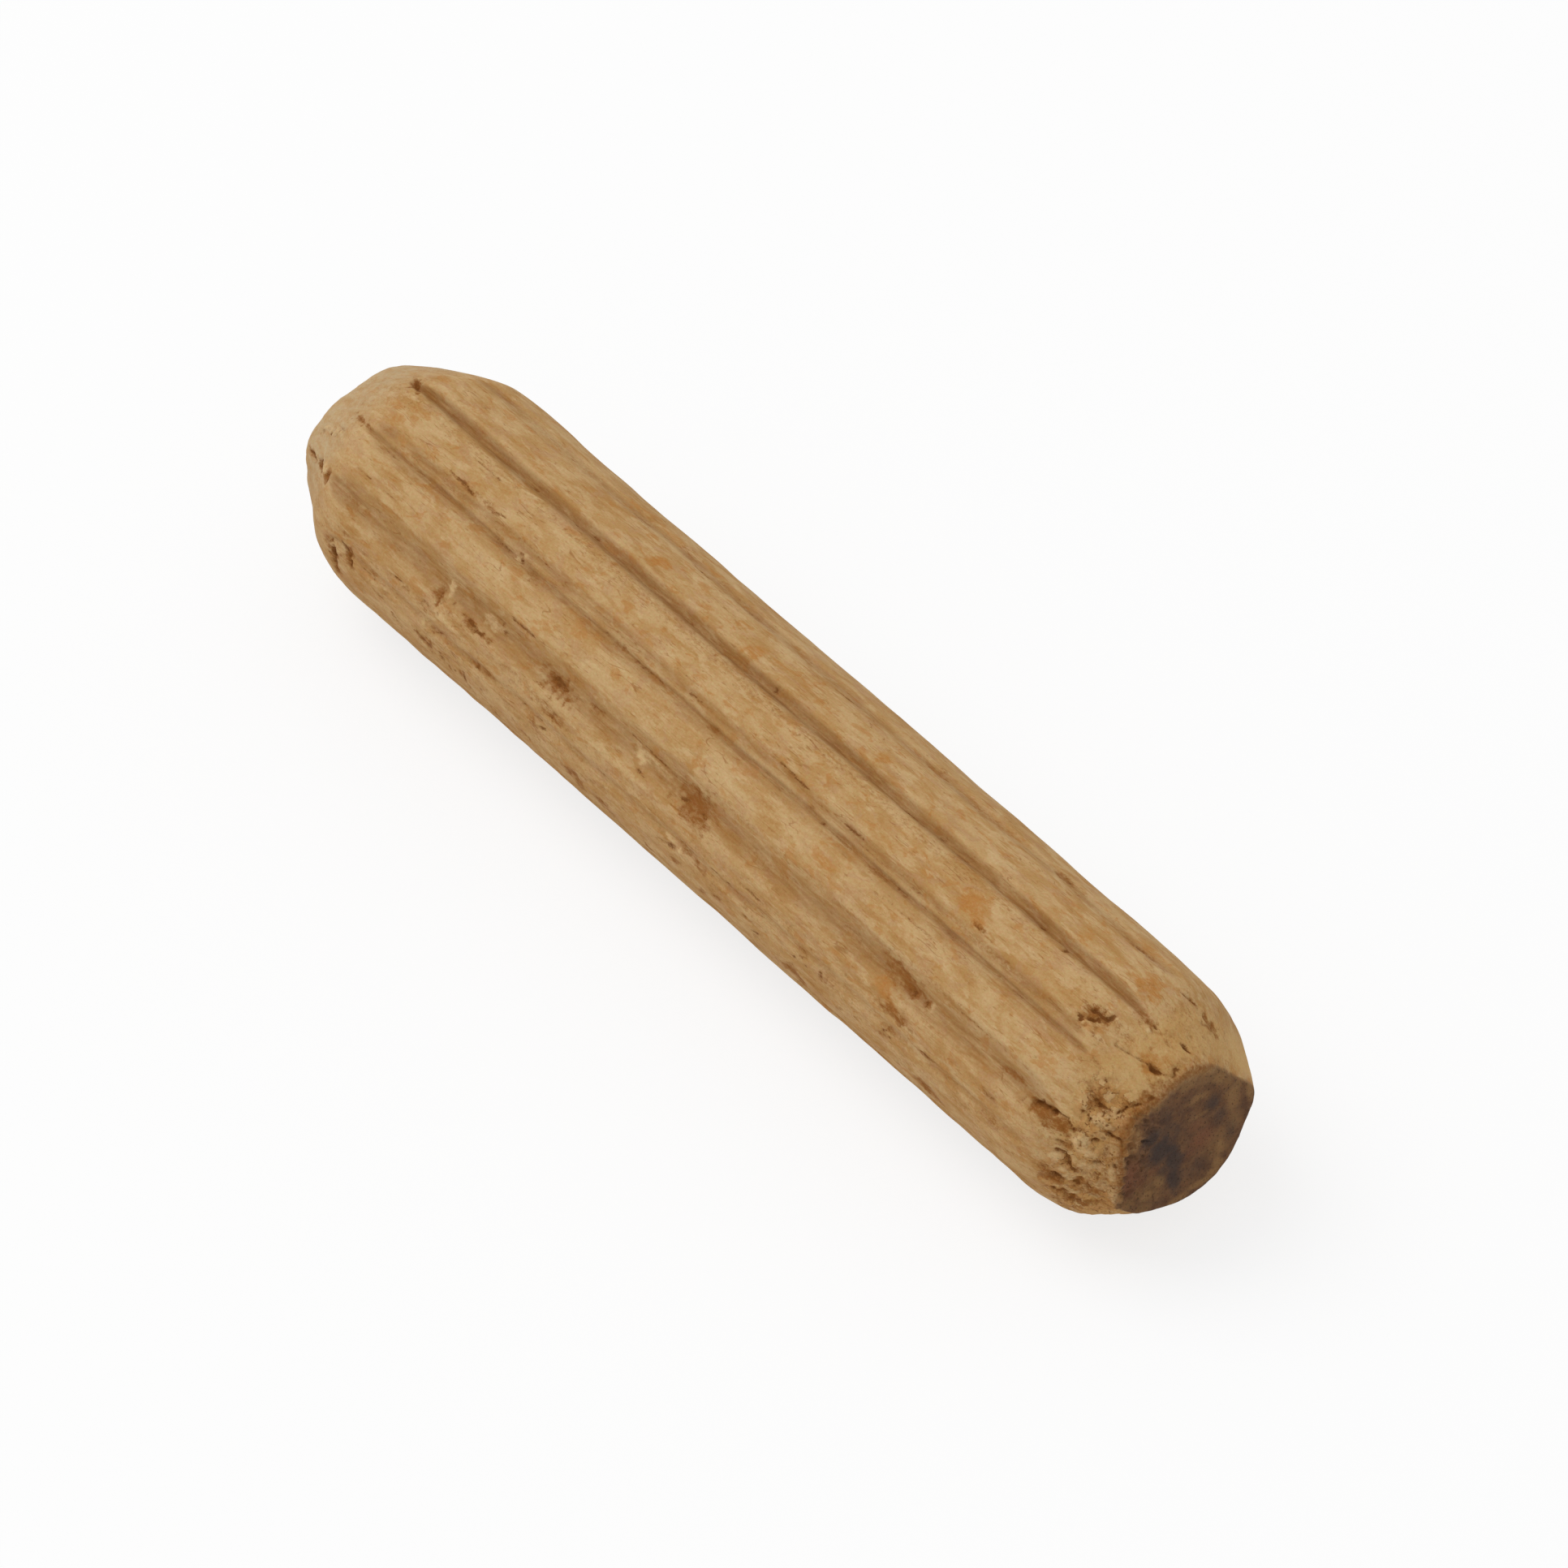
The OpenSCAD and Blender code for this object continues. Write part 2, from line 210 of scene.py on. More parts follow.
        (-10.65, -69.3, 0.5, 0.25, 0.4), (-10.6, -71, 0.5, 0.3, 0.35), (-10.5, -101, 0.5, 0.16, 0.7, -50),
        (-10.2, -90, 0.5, 0.14, 0.6, -20), (-9.75, -101, 0.5, 0.24, 0.8, -60),
        (-9.6, -68, 0.9, 0.2, 0.85, -5), (-9.6, -22.6, 2, 0.2, 0.35), (-9.55, -105, 0.4, 0.2, 0.7, -60),
        (-9.1, -85, 0.35, 0.22, 0.9), (-9, -68.6, 0.7, 0.16, 0.8, 6), (-8.9, -97, 0.5, 0.16, 0.7, -50),
        (-8.8, -83.9, 1, 0.2, 0.5), (-8.6, -31.5, 1.1, 0.35, 0.5, -10), (-8.5, -84.6, 0.7, 0.16, 0.7),
        (-8.3, -108, 0.6, 0.2, 0.6, -40), (-8.2, 30, 1.2, 0.3, 0.5), (-7.7, -90, 0.4, 0.14, 0.6, -20),
        (-7.5, -72, 4.2, 0.25, 0.35), (-7.3, -97, 0.5, 0.15, 0.6, -40), (-6.6, -103, 0.6, 0.2, 0.7, -40),
        (-6.3, 34, 0.9, 0.4, 0.4, -20), (-6.2, -88.5, 0.5, 0.3, 0.6, -30), (-6, -96, 0.4, 0.15, 0.5, -30),
        (-5.75, -74, 1.2, 0.25, 0.5), (-5.6, -62, 1.15, 0.55, 1), (-5.4, -61, 0.7, 0.35, 0.8),
        (-5.3, -77, 1.2, 0.3, 0.7), (-4.6, -99.5, 0.9, 0.35, 0.7, 15), (-4.5, -101.5, 0.45, 0.35, 0.65, 25),
        (-4.4, 34, 0.7, 0.4, 0.45, -20), (-4.35, -99, 0.5, 0.3, 0.85, 20), (-4.3, -29.5, 0.7, 0.2, 0.7),
        (-4.2, -105, 0.3, 0.4, 0.6, 25), (-4, -104, 0.4, 0.5, 0.75, 50), (-3.85, -59.8, 1, 0.25, 0.5),
        (-3.7, -95, 0.5, 0.14, 0.6, -20), (-3.3, -92.4, 0.6, 0.2, 0.5), (-3.1, -103, 0.5, 0.5, 0.75, 45),
        (-3, -102, 0.8, 0.4, 0.6, 15), (-3, 30, 2.4, 0.3, 0.4), (-3, -103.5, 0.6, 0.22, 0.6, 25),
        (-2.6, -106, 0.5, 0.25, 0.6, 25), (-2, -5.2, 34, 0.5, 0.34), (-2, -112.5, 0.5, 0.3, 0.95, 20),
        (-0.85, -107.5, 0.4, 0.35, 0.75, 45), (-0.2, 31, 1.2, 0.3, 0.3), (0.2, -30, 0.8, 0.22, 0.6),
        (0.6, -98, 0.6, 0.3, 0.7, 10), (0.8, -97, 0.6, 0.3, 0.5), (1.15, -62, 1.5, 0.7, 1, -6),
        (1.2, -69.5, 1.2, 0.4, 0.6, -5), (1.35, -66.5, 0.7, 0.35, 0.9), (1.35, -86.5, 0.4, 0.16, 0.6, -40),
        (1.4, -85.4, 1.2, 0.35, 0.6, -10), (1.9, -88, 0.7, 0.2, 0.8, -30), (1.9, -104, 0.6, 0.2, 0.6, 30),
        (2.5, -51.5, 4.5, 0.3, 0.28), (2.7, -96.5, 0.6, 0.2, 0.4), (2.75, -97.3, 0.5, 0.2, 0.7, 10),
        (2.8, -90, 0.5, 0.12, 0.5), (3.6, -84, 0.8, 0.14, 0.5), (4.2, -88, 0.5, 0.14, 0.5),
        (4.25, -62.3, 2, 0.4, 0.3), (4.4, -93, 0.6, 0.2, 0.4), (4.45, -111.5, 0.4, 0.4, 0.7, 45),
        (4.6, -101, 0.5, 0.2, 0.6, 40), (5.8, 31.5, 1.4, 0.4, 0.5), (6.2, -102, 1.2, 0.5, 0.6, 10),
        (6.2, -104, 1.1, 0.5, 0.8, 12), (6.65, -107, 0.5, 0.35, 0.75, 50), (7, -84.5, 0.6, 0.16, 0.6),
        (7.5, -51.2, 4.5, 0.3, 0.28), (8, -89.5, 0.6, 0.25, 0.7, 20), (8.2, -30.5, 1.4, 0.25, 0.6),
        (8.4, 31.5, 2.2, 0.35, 0.4), (8.55, -59.3, 0.8, 0.4, 0.4), (8.6, -101, 0.5, 0.2, 0.6, 30),
        (9, -5.6, 12, 0.45, 0.3), (9.5, -96, 0.6, 0.2, 0.5, 30), (10.6, -92, 0.5, 0.14, 0.6, 20),
        (10.75, -63.3, 1.5, 0.25, 0.5), (11, -86.5, 0.7, 0.3, 0.6), (11.05, -59, 1.7, 0.42, 1, -5),
        (11.2, -76, 1.1, 0.32, 0.8, -4), (11.25, -74, 1, 0.3, 0.6, -5), (11.35, -61.8, 0.8, 0.35, 0.9),
        (11.9, 33, 1, 0.35, 0.7, -10), (12.2, -19.5, 0.9, 0.2, 0.6), (12.5, -37, 4.4, 0.4, 0.2),
        (12.5, -51.3, 4.5, 0.3, 0.3), (12.5, -68.5, 4.2, 0.45, 0.22), (12.6, -101, 0.8, 0.5, 0.6, -10),
        (12.6, -103, 0.9, 0.5, 0.8, -25), (12.65, -83.4, 0.8, 0.2, 0.7), (12.8, 29.5, 1, 0.2, 0.4),
        (13.2, -105, 0.6, 0.3, 0.7, -30), (14.6, -92, 0.7, 0.2, 0.5, 10), (15.9, 28.7, 2, 0.25, 0.6),
        (16, -88, 1.2, 0.4, 0.5), (16.05, -60.1, 0.9, 0.22, 0.9, 4), (17.28, -15.4, 1, 0.75, 0.85),
        (17.3, -13.6, 0.6, 0.5, 0.7), (17.36, 14.2, 0.5, 0.35, 0.35), (18.02, -91.7, 0.35, 0.3, 0.5),
        (18.05, 29.8, 0.5, 0.25, 0.5, 28), (18.1, -99.5, 0.5, 0.4, 0.7), (18.1, -65, 1.3, 0.62, 1, -4),
        (18.1, 15.3, 0.4, 0.25, 0.4), (18.2, 31.2, 0.5, 0.2, 0.6, 28), (18.2, -96, 0.45, 0.2, 0.8, -20),
        (18.2, -13, 0.8, 0.35, 0.35), (18.25, 1.2, 0.9, 0.3, 0.7, 12), (18.3, -107, 0.7, 0.35, 0.6),
        (18.3, -30.5, 0.9, 0.2, 0.45), (18.3, -95, 0.5, 0.3, 0.5), (18.42, 16.8, 0.3, 0.3, 0.4),
        (18.42, -10.4, 0.5, 0.3, 0.35), (18.45, 24, 0.7, 0.35, 0.35), (18.45, -100, 0.3, 0.3, 0.9),
        (18.5, -108, 0.5, 0.2, 0.9), (18.6, -104, 1, 1.8, 0.38), (18.62, 35.4, 0.36, 0.34, 0.9),
        (18.7, -75.5, 0.6, 0.25, 0.5), (18.7, -113, 0.6, 0.3, 1), (18.75, 2.5, 0.25, 0.2, 0.5),
        (18.85, -88.5, 0.4, 0.4, 0.5), (18.86, 39.6, 0.4, 0.45, 0.9, -20), (18.9, 7, 0.3, 0.2, 0.5),
        (18.95, -45, 0.75, 0.45, 0.7, -8), (18.95, -117, 0.5, 0.3, 1), (18.95, -5, 0.2, 0.25, 0.4),
        (19, -98.6, 0.45, 0.35, 0.7), (19.1, 4, 0.3, 0.2, 0.5, 20), (19.13, -70.6, 0.25, 0.2, 0.4),
        (19.25, -106.8, 0.5, 0.4, 0.8), (19.3, -62, 0.5, 0.8, 0.35), (19.47, -10, 0.4, 0.25, 0.6, 20),
        (19.5, -95, 0.9, 2.6, 0.42), (19.5, -111, 0.9, 1.4, 0.45), (19.6, -76, 0.6, 1.2, 0.42),
        (19.65, -38, 0.3, 0.9, 0.5), (19.7, -58, 0.35, 0.3, 0.5), (19.72, -37, 0.4, 0.6, 0.5),
        (19.8, -28, 0.4, 1, 0.75), (19.82, -16, 0.35, 1.2, 0.55), (19.85, -57, 0.3, 0.9, 0.4),
    ],
    "fleck": [
        (-18.3, -12, 0.5, 0.6, 0.4), (-18, 15, 0.6, 0.8, 0.4), (-16.9, 14, 0.7, 0.4, 0.6, -20),
        (-16.4, -18, 0.8, 0.5, 0.5), (-16.2, -9, 0.5, 0.4, 0.5), (-15.6, -24, 0.6, 0.3, 0.5),
        (-14.7, 13, 0.4, 0.5, 0.5), (-13.5, 24, 0.6, 0.3, 0.5), (-12, 15, 0.8, 0.2, 0.5),
        (-11.6, 8, 0.9, 0.2, 0.5), (-9.1, 31, 0.6, 0.3, 0.5), (-8.7, -44.5, 0.8, 0.12, 0.6),
        (-7.1, 36.5, 0.9, 0.6, 0.5, -20), (-6.35, 10, 0.5, 0.3, 0.7, -30), (-6.2, 12, 0.5, 0.6, 0.9, -20),
        (-5.9, 14.5, 0.55, 0.4, 0.9, -20), (-4.3, 15, 0.5, 0.3, 0.4), (-3.6, 11.5, 0.5, 0.4, 0.6),
        (-3, -13, 0.6, 0.3, 0.3), (-2.63, -21.5, 1, 0.3, 0.3), (-1.2, -46, 0.8, 0.1, 0.5),
        (-1.15, 10.5, 0.6, 0.7, 0.8), (0.2, -39.5, 0.6, 0.2, 0.4, 15), (0.75, -14.5, 0.5, 0.25, 0.6),
        (0.9, -9, 0.4, 0.2, 0.5), (0.95, 14, 0.6, 0.5, 0.35), (1.1, 8.5, 0.5, 0.2, 0.3),
        (1.7, -9.3, 0.5, 0.2, 0.6), (1.75, -10, 0.6, 0.2, 0.5), (2.4, 13, 0.4, 0.5, 0.5),
        (4.95, 11.5, 0.45, 0.5, 1), (6.5, -42, 1, 0.35, 0.9), (7.6, -18, 0.9, 0.15, 0.5, -8),
        (7.7, -10, 0.7, 0.2, 0.5), (8.2, 16.5, 0.6, 0.2, 0.6, -10), (8.9, 32.5, 3, 0.6, 0.4),
        (9.5, 16.8, 0.8, 0.15, 0.6), (10.4, -68, 1, 0.6, 0.6), (10.5, -68.5, 0.9, 0.5, 0.8, -40),
        (11, -73.5, 0.9, 0.3, 0.8, -15), (11.3, -14, 0.9, 0.9, 0.9), (11.7, -14.5, 1, 0.9, 0.6),
        (11.9, -17.5, 1, 0.5, 0.8, -10), (13.3, 11, 0.6, 0.5, 0.5), (14.6, 10, 0.5, 0.7, 0.6),
        (15.9, 33.5, 2, 0.5, 0.5), (17.1, 17, 0.5, 0.4, 0.6), (17.36, 14.2, 0.75, 0.8, 1),
        (17.5, 7, 0.4, 0.2, 0.4), (17.63, 6.8, 0.4, 0.25, 0.5), (17.75, 12, 0.5, 0.5, 0.8),
        (18.35, -66, 0.6, 0.35, 0.8), (18.6, -12, 0.7, 0.4, 0.35), (18.95, 0, 0.5, 0.6, 0.35),
        (19.15, 8, 0.4, 0.5, 0.3), (19.25, -10.8, 0.6, 0.7, 0.9), (19.4, -3, 0.3, 0.8, 0.4),
        (19.4, -5, 0.4, 0.9, 0.6),
    ],
    "flake": [
        (-18.9, -45, 0.3, 0.12, 0.7, 30), (-18.55, -43, 0.25, 0.12, 0.7, 30),
        (-18.55, -45.2, 0.2, 0.06, 0.8, 60), (-18.3, -43.9, 0.2, 0.06, 0.8, 60),
        (-18.25, -41, 0.3, 0.1, 0.7, -20), (-17.98, -41.5, 0.2, 0.06, 0.8, 60),
        (-17.75, -60.5, 0.22, 0.5, 1), (-17.55, -61.5, 0.25, 0.5, 0.8), (-16.6, -5.3, 0.2, 0.1, 0.8),
        (-15.95, -90.5, 0.16, 0.45, 0.6), (-15.75, -84, 0.16, 0.35, 0.7), (-12.6, -25, 4.4, 0.25, 0.3),
        (-12.5, 30.8, 4.6, 0.45, 0.4), (-12.1, -85.5, 0.3, 0.12, 0.6, -60), (-11.8, -5.7, 0.42, 0.1, 0.7),
        (-11.7, -85.9, 0.2, 0.3, 0.5, -30), (-11.7, -86, 0.35, 0.14, 0.6, -60),
        (-11.4, -3.6, 0.3, 0.08, 0.6, 30), (-11.05, -70, 0.14, 0.5, 0.7, 25),
        (-10.95, -61, 0.22, 0.55, 1, 20), (-10.9, -75.5, 0.9, 0.18, 1, -8), (-10.8, -5.3, 0.9, 0.1, 0.5, 8),
        (-10.8, -4.4, 0.75, 0.1, 0.8, 17), (-10.25, -76.5, 0.7, 0.16, 0.8, 8),
        (-9.45, -29.8, 0.4, 0.08, 1, -22), (-9.32, -28.2, 0.14, 0.5, 0.9),
        (-9.25, -31.2, 0.3, 0.07, 0.7, -35), (-8.85, -61, 0.9, 0.3, 0.55), (-8.85, -61.3, 0.9, 0.4, 0.6),
        (-8.75, -70, 0.25, 0.1, 0.6), (-8.5, -101, 0.5, 0.2, 0.5, -40), (-8.35, -60, 0.25, 0.14, 0.6, -47),
        (-8.3, -8, 1, 0.15, 0.5), (-8.2, -71.5, 0.9, 0.2, 0.5), (-6.05, -60.5, 0.25, 0.3, 0.6, 30),
        (-4.8, -4.5, 0.25, 0.12, 0.8, -25), (-4.6, -59.8, 0.25, 0.15, 0.5, 20),
        (-3.2, -86.7, 0.5, 0.08, 0.6), (-2.5, -72.3, 4.2, 0.28, 0.6), (-1.6, -61.8, 0.75, 0.3, 0.9, -40),
        (-1.5, -59, 0.25, 0.35, 0.6, 30), (-0.95, -59.6, 1, 0.12, 0.6, -6), (-0.6, -61, 1.2, 0.3, 0.4),
        (0, -42, 37, 0.7, 0.3), (0.23, 4, 0.2, 0.07, 0.9, -55), (0.55, -85.7, 0.9, 0.2, 0.8, -6),
        (0.8, -86.3, 0.6, 0.14, 0.6, -20), (1.05, -87.4, 0.2, 0.25, 0.8), (1.15, -90, 0.3, 0.16, 0.8, -50),
        (1.2, -3.8, 0.7, 0.06, 0.6), (1.95, -63.5, 0.14, 0.4, 0.7), (4.8, -69.5, 1.4, 0.4, 0.4),
        (5.5, -40, 0.9, 0.25, 0.4), (9.7, -71.5, 0.9, 0.25, 0.5), (12.35, -61.5, 0.14, 0.4, 0.8),
        (12.5, -84.9, 1.2, 0.3, 0.6), (12.6, -24.6, 4.6, 0.25, 0.4), (13.35, -89.4, 0.15, 0.5, 0.5),
        (17.6, -59.2, 0.5, 0.08, 0.5, 6), (18.35, -84, 0.35, 0.3, 0.9, 30), (18.5, -103, 0.45, 0.2, 0.7),
        (18.5, -77.5, 0.3, 0.2, 0.6), (18.54, -1.8, 0.18, 0.16, 1), (18.55, -57.8, 0.7, 0.09, 0.6, -8),
        (18.6, -91, 0.3, 0.2, 0.8, 20), (18.72, -107.7, 0.6, 0.22, 0.6), (18.75, -96, 0.4, 0.35, 0.9),
        (18.9, -93, 0.35, 0.25, 0.6), (18.98, -69.8, 0.42, 0.42, 1), (19, -71.5, 0.45, 0.6, 0.7),
        (19.17, -74.6, 0.16, 0.3, 1), (19.2, -93, 0.4, 0.3, 0.5), (19.2, -86, 0.3, 0.35, 0.9),
        (19.3, -110, 0.35, 0.3, 0.8), (19.35, -48, 0.25, 0.18, 0.5), (19.45, -84, 0.25, 0.3, 0.5),
        (19.5, -62.5, 0.2, 0.2, 0.6), (19.5, -100, 0.3, 0.4, 0.8), (19.6, -92, 0.2, 0.2, 0.6),
        (19.78, -88, 0.22, 0.7, 0.9), (19.8, -86.7, 0.18, 0.35, 0.8), (19.9, -106, 0.15, 0.5, 0.7),
    ],
}
# Ragged gashes: width in mm, strength, and the places along the pin and angles they run through
GASHES = [
    (0.15, 1.0, [(16.87, -19.6), (17.08, -20.6)]),
    (0.17, 1.0, [(17.2, -18.8), (17.39, -17.0), (17.45, -15.4)]),
    (0.14, 1.0, [(17.11, -14.4), (17.29, -13.2), (17.44, -13.9), (17.64, -12.2), (17.68, -9.0)]),
    (0.08, 0.7, [(17.25, -9.3), (17.4, -11.5)]),
    (0.11, 0.7, [(17.17, -18.5), (17.49, -17.6), (17.61, -14.3)]),
    (0.09, 0.6, [(18.3, -18.6), (18.62, -16.9), (18.9, -14.8), (19.12, -13.0)]),
    (0.12, 0.9, [(19.36, -12.0), (19.45, -10.2), (19.59, -8.8)]),
    (0.09, 0.9, [(19.55, -44.8), (19.6, -41.5), (19.63, -38.6)]),
    (0.09, 0.9, [(19.73, -34), (19.82, -31)]),
    (0.08, 0.8, [(19.87, -27.5), (19.84, -19.7)]),
    (0.08, 0.6, [(19.85, -14), (19.84, -5.9)]),
    (0.12, 1.0, [(19.14, -46.2), (19.3, -45.0)]),
    (0.10, 0.9, [(18.98, -45.0), (19.12, -45.9)]),
    (0.08, 0.6, [(18.72, -44.4), (18.85, -44.8), (18.98, -45.3)]),
    (0.08, 0.8, [(19.28, -47), (19.31, -50)]),
    (0.06, 0.4, [(18.8, -51), (19.18, -46.4)]),
    (0.10, 0.8, [(17.34, -63.1), (17.5, -62.0), (17.73, -61.3), (18.08, -61.6)]),
    (0.09, 0.8, [(18.08, -61.6), (18.23, -60.0), (18.5, -60.3), (18.7, -64.5)]),
    (0.08, 0.7, [(18.3, -74), (18.49, -74)]),
    (0.08, 0.7, [(19.25, -66.2), (19.38, -65.4)]),
    (0.11, 0.9, [(19.66, -58.8), (19.88, -58.2)]),
    (0.08, 0.7, [(19.49, -56.8), (19.55, -58.2)]),
    (0.10, 0.9, [(18.33, -80.0), (18.55, -80.6)]),
    (0.08, 0.8, [(18.74, -86), (18.88, -89.4)]),
    (0.10, 0.9, [(19.23, -80), (19.48, -80.4)]),
    (0.08, 0.8, [(18.25, -97.8), (18.5, -98.6)]),
    (0.08, 0.9, [(18.0, -106.2), (18.3, -106.6), (18.6, -107.6)]),
    (0.09, 0.7, [(17.9, 27.3), (18.06, 29.8), (18.23, 32.4)]),
    (0.09, 0.9, [(19.26, 10.9), (19.38, 12.6), (19.51, 13.9)]),
    (0.18, 0.9, [(-17.5, 6.5), (-17.2, 2.6), (-16.95, 0)]),
    (0.15, 1.0, [(-15.75, -82), (-15.45, -86), (-15.3, -90.5)]),
    (0.2, 0.9, [(-16.25, -87), (-16.2, -93), (-16.2, -100)]),
    (0.2, 0.85, [(-18.3, -62.5), (-18.1, -62.8), (-17.95, -64.5)]),
    (0.16, 0.8, [(-17.4, -59), (-17.35, -63.5)]),
    (0.10, 0.8, [(-19.2, -66), (-18.9, -64.5), (-18.7, -65)]),
]
# Patches of the stained end face by tint: strength, place across and up, width and height in mm
FACE_PATCHES = {
    "blotch": [
        (1.0, -0.85, 0.1, 1.0, 1.3), (0.9, -0.4, -0.5, 0.8, 1.1), (0.85, -0.4, -1.35, 0.6, 1.2),
        (0.8, -1.15, 0.85, 0.7, 0.9), (0.5, -0.65, 1.4, 0.7, 0.9), (0.5, -0.3, 0.5, 0.6, 0.8),
        (0.65, 1.15, 0.8, 0.6, 0.7), (0.5, 1.4, 0.15, 0.6, 0.9), (0.45, 1.75, -0.6, 0.5, 0.8),
        (0.4, 0.45, -1.4, 0.9, 0.8), (0.6, -0.75, -0.75, 0.5, 0.7), (0.55, -0.6, 0.85, 0.7, 0.6),
    ],
    "rust": [
        (0.8, 0.75, -0.35, 1.1, 0.9), (0.5, 0.25, -0.6, 0.6, 0.6), (0.7, -1.9, 0.05, 0.6, 0.9),
        (0.6, -1.7, -0.7, 0.7, 0.9), (0.9, -2.05, -0.35, 0.4, 1.5), (0.5, -1.1, -0.5, 0.5, 0.5),
        (0.5, 0.5, 0.3, 0.7, 0.5),
    ],
    "tan": [
        (0.8, -0.93, -1.08, 0.5, 0.6), (0.8, -1.4, -1.37, 0.6, 0.5), (0.6, -2.1, -1.4, 0.7, 0.5),
        (0.6, -1.5, -1.85, 0.7, 0.4), (0.6, -2.4, -0.9, 0.3, 0.6), (0.7, 2.15, 1.15, 0.5, 0.7),
        (1.0, 2.55, 0.5, 0.35, 0.9), (0.5, -1.7, -1.1, 0.4, 0.6), (0.9, 1.37, -1.04, 0.4, 0.8),
        (0.9, 1.25, -1.7, 0.5, 0.6), (0.9, 1.1, -1.95, 0.6, 0.35), (0.9, 0.66, -2.15, 0.9, 0.3),
        (0.8, -0.34, -2.3, 1.2, 0.3), (0.55, 1.03, 2.0, 1.4, 0.7), (0.7, 0.27, 2.2, 0.9, 0.6),
        (0.6, 1.79, 1.4, 0.7, 0.7), (0.7, -0.96, 1.97, 0.7, 0.4), (0.7, 0.6, 1.4, 0.9, 0.35),
        (0.5, 0.7, 0.68, 1.1, 0.2), (0.45, 1.3, -0.9, 1.3, 1.6), (0.45, -1.2, -1.3, 1.1, 1.3),
        (0.8, 1.9, 0.7, 0.6, 1.3), (0.9, 1.5, 1.75, 0.8, 0.6), (0.6, 1.95, -0.3, 0.6, 1.0),
    ],
}

# How each kind of mark changes the wood: depth in mm (negative stands proud), softness of its
# edge, raggedness, and which tint it lays on
KINDS = {
    "dash": (0.03, 0.7, 0.5, "dark"),
    "pit": (0.07, 0.7, 0.5, "dark"),
    "stain": (0.02, 0.8, 0.6, "brown"),
    "fleck": (0.0, 0.5, 0.4, "warm"),
    "flake": (-0.035, 0.5, 0.45, "pale"),
    "gash": (0.08, 0.7, 0.5, "dark"),
}
# Tints on the vertices, which the wood's colour is laid by
TINTS = ("dark", "brown", "warm", "pale", "hollow", "stain", "blotch", "rust", "tan", "rough")

# Sides of the pin by angle: where each begins, is full, stops being full and ends
SEEN_SIDE = (-128, -112, 48, 64)
ROUGH_SIDE = (-150, -130, -78, -62)
TORN_SIDE = (-150, -120, -42, -24)
FUZZY_SIDE = (-60, -40, 45, 75)
UPPER_RIM = (-80, -60, 15, 38)
LEFT_RIM = (-118, -105, 15, 40)

# Closeness of the mesh rows on plain wood and what is added to it: where that sets in and is full
# along the pin, and how much it is
PLAIN_ROWS = 5.0
MORE_ROWS = ((16.2, 17.2, 6.5), (-14.5, -16, 3.0))
# Busy places along the pin, their reach in mm, and what they add
BUSY_PLACES = (-10.6, -5.3, 0.4, 11.6)
BUSY_REACH = 0.9
BUSY_ROWS = 1.6
# Flat of the nosed face: where it sets in and is full, along the pin and by radius in mm, and
# what it adds
NOSED_FLAT = (-19, -19.9)
NOSED_FLAT_R = (2.4, 1.6)
FLAT_ROWS = -4.5
# Closeness of the mesh columns: on the hidden side, and what the seen side and a hidden flute add
PLAIN_COLUMNS = 0.42
SEEN_COLUMNS = 0.83
FLUTE_COLUMNS = 0.45
FLUTE_REACH = 5.0
# Steps in which outlines and spacings are worked out, and how many of them smooth a normal
FINE_STEPS = 8000
NORMAL_BLUR = 15

# Hills, layer by layer. Round the pin: weight, length along the outline in mm, count round the pin
# and seed. Along a flute: weight, length in mm and the first flute's seed. On the trimmed face:
# weight, size in mm and seed.
TEAR = ((1, 0.13, 150, 5),)
CHIPS = ((1, 0.26, 64, 6),)
LUMPS = ((1, 2.6, 22, 1), (0.5, 0.9, 60, 2))
FIBRES = ((1, 1.4, 160, 3), (0.7, 0.5, 110, 4))
WANDER = ((1, 3.1, 40), (0.5, 0.9, 70))
FLUTE_RISE = ((0.12, 2.3, 90),)
FACE_FRAY = ((1, 0.3, 10), (0.5, 0.12, 11))
# Saw marks of the trimmed face: spacing across and up and length in mm, and seed
SAW_MARKS = (0.5, 0.35, 1.6, 8)

# Flutes: how steeply they run out as the pin narrows, softness of their edges in mm, and depth in
# mm at which their grime and painted shade are full
RUN_OUT = 0.8
SOFT_LIP = 0.02
GRIME_AND_SHADE_DEPTH = 0.08
# Radii in mm at which the angles of flats, gashes and marks near the axis are turned into lengths
BLANK_RADIUS = 4.0
GASH_RADIUS = 3.5
LEAST_RADIUS = 0.3
# Margin in mm round the places that a mark is worked out for
MARK_MARGIN = 0.4
# Radius in mm at which the uneven wood of the shank sets in and is full, and the share of the saw
# marks that it takes away
SHANK = (1.0, 2.0)
SHANK_UNSAWN = 0.6
# Where flats and face patches fade, as shares of the way from their middle to their edge, and
# how ragged the patches are
FLAT_FADE = (1.3, 0.2)
PATCH_FADE = (1.5, 0.3)
PATCH_FRAY = 0.3
# How much more the fibres stand out on the rough side
MORE_FIBRES = 1.2

# Torn wood of the trimmed end: where along the pin it sets in, how much nearer the middle it does
# on the lower side, the angles of that side, and the fade at its start in mm
TORN_START = 18.4
TORN_LOWER = 0.6
LOWER_SIDE = (-70, -95)
TORN_FADE = (-0.1, 0.5)
# Its chips by the height of their hills: where they are raised by 1, where they have come off and
# how deep that goes, and how far all of them swell with their hills
RAISED_CHIPS = (0.1, 0.5)
LOST_CHIPS = (-0.3, -0.8)
LOST_DEPTH = 1.2
CHIP_SWELL = 0.5
# How ragged the tear makes the chips
CHIP_TEAR = 0.5
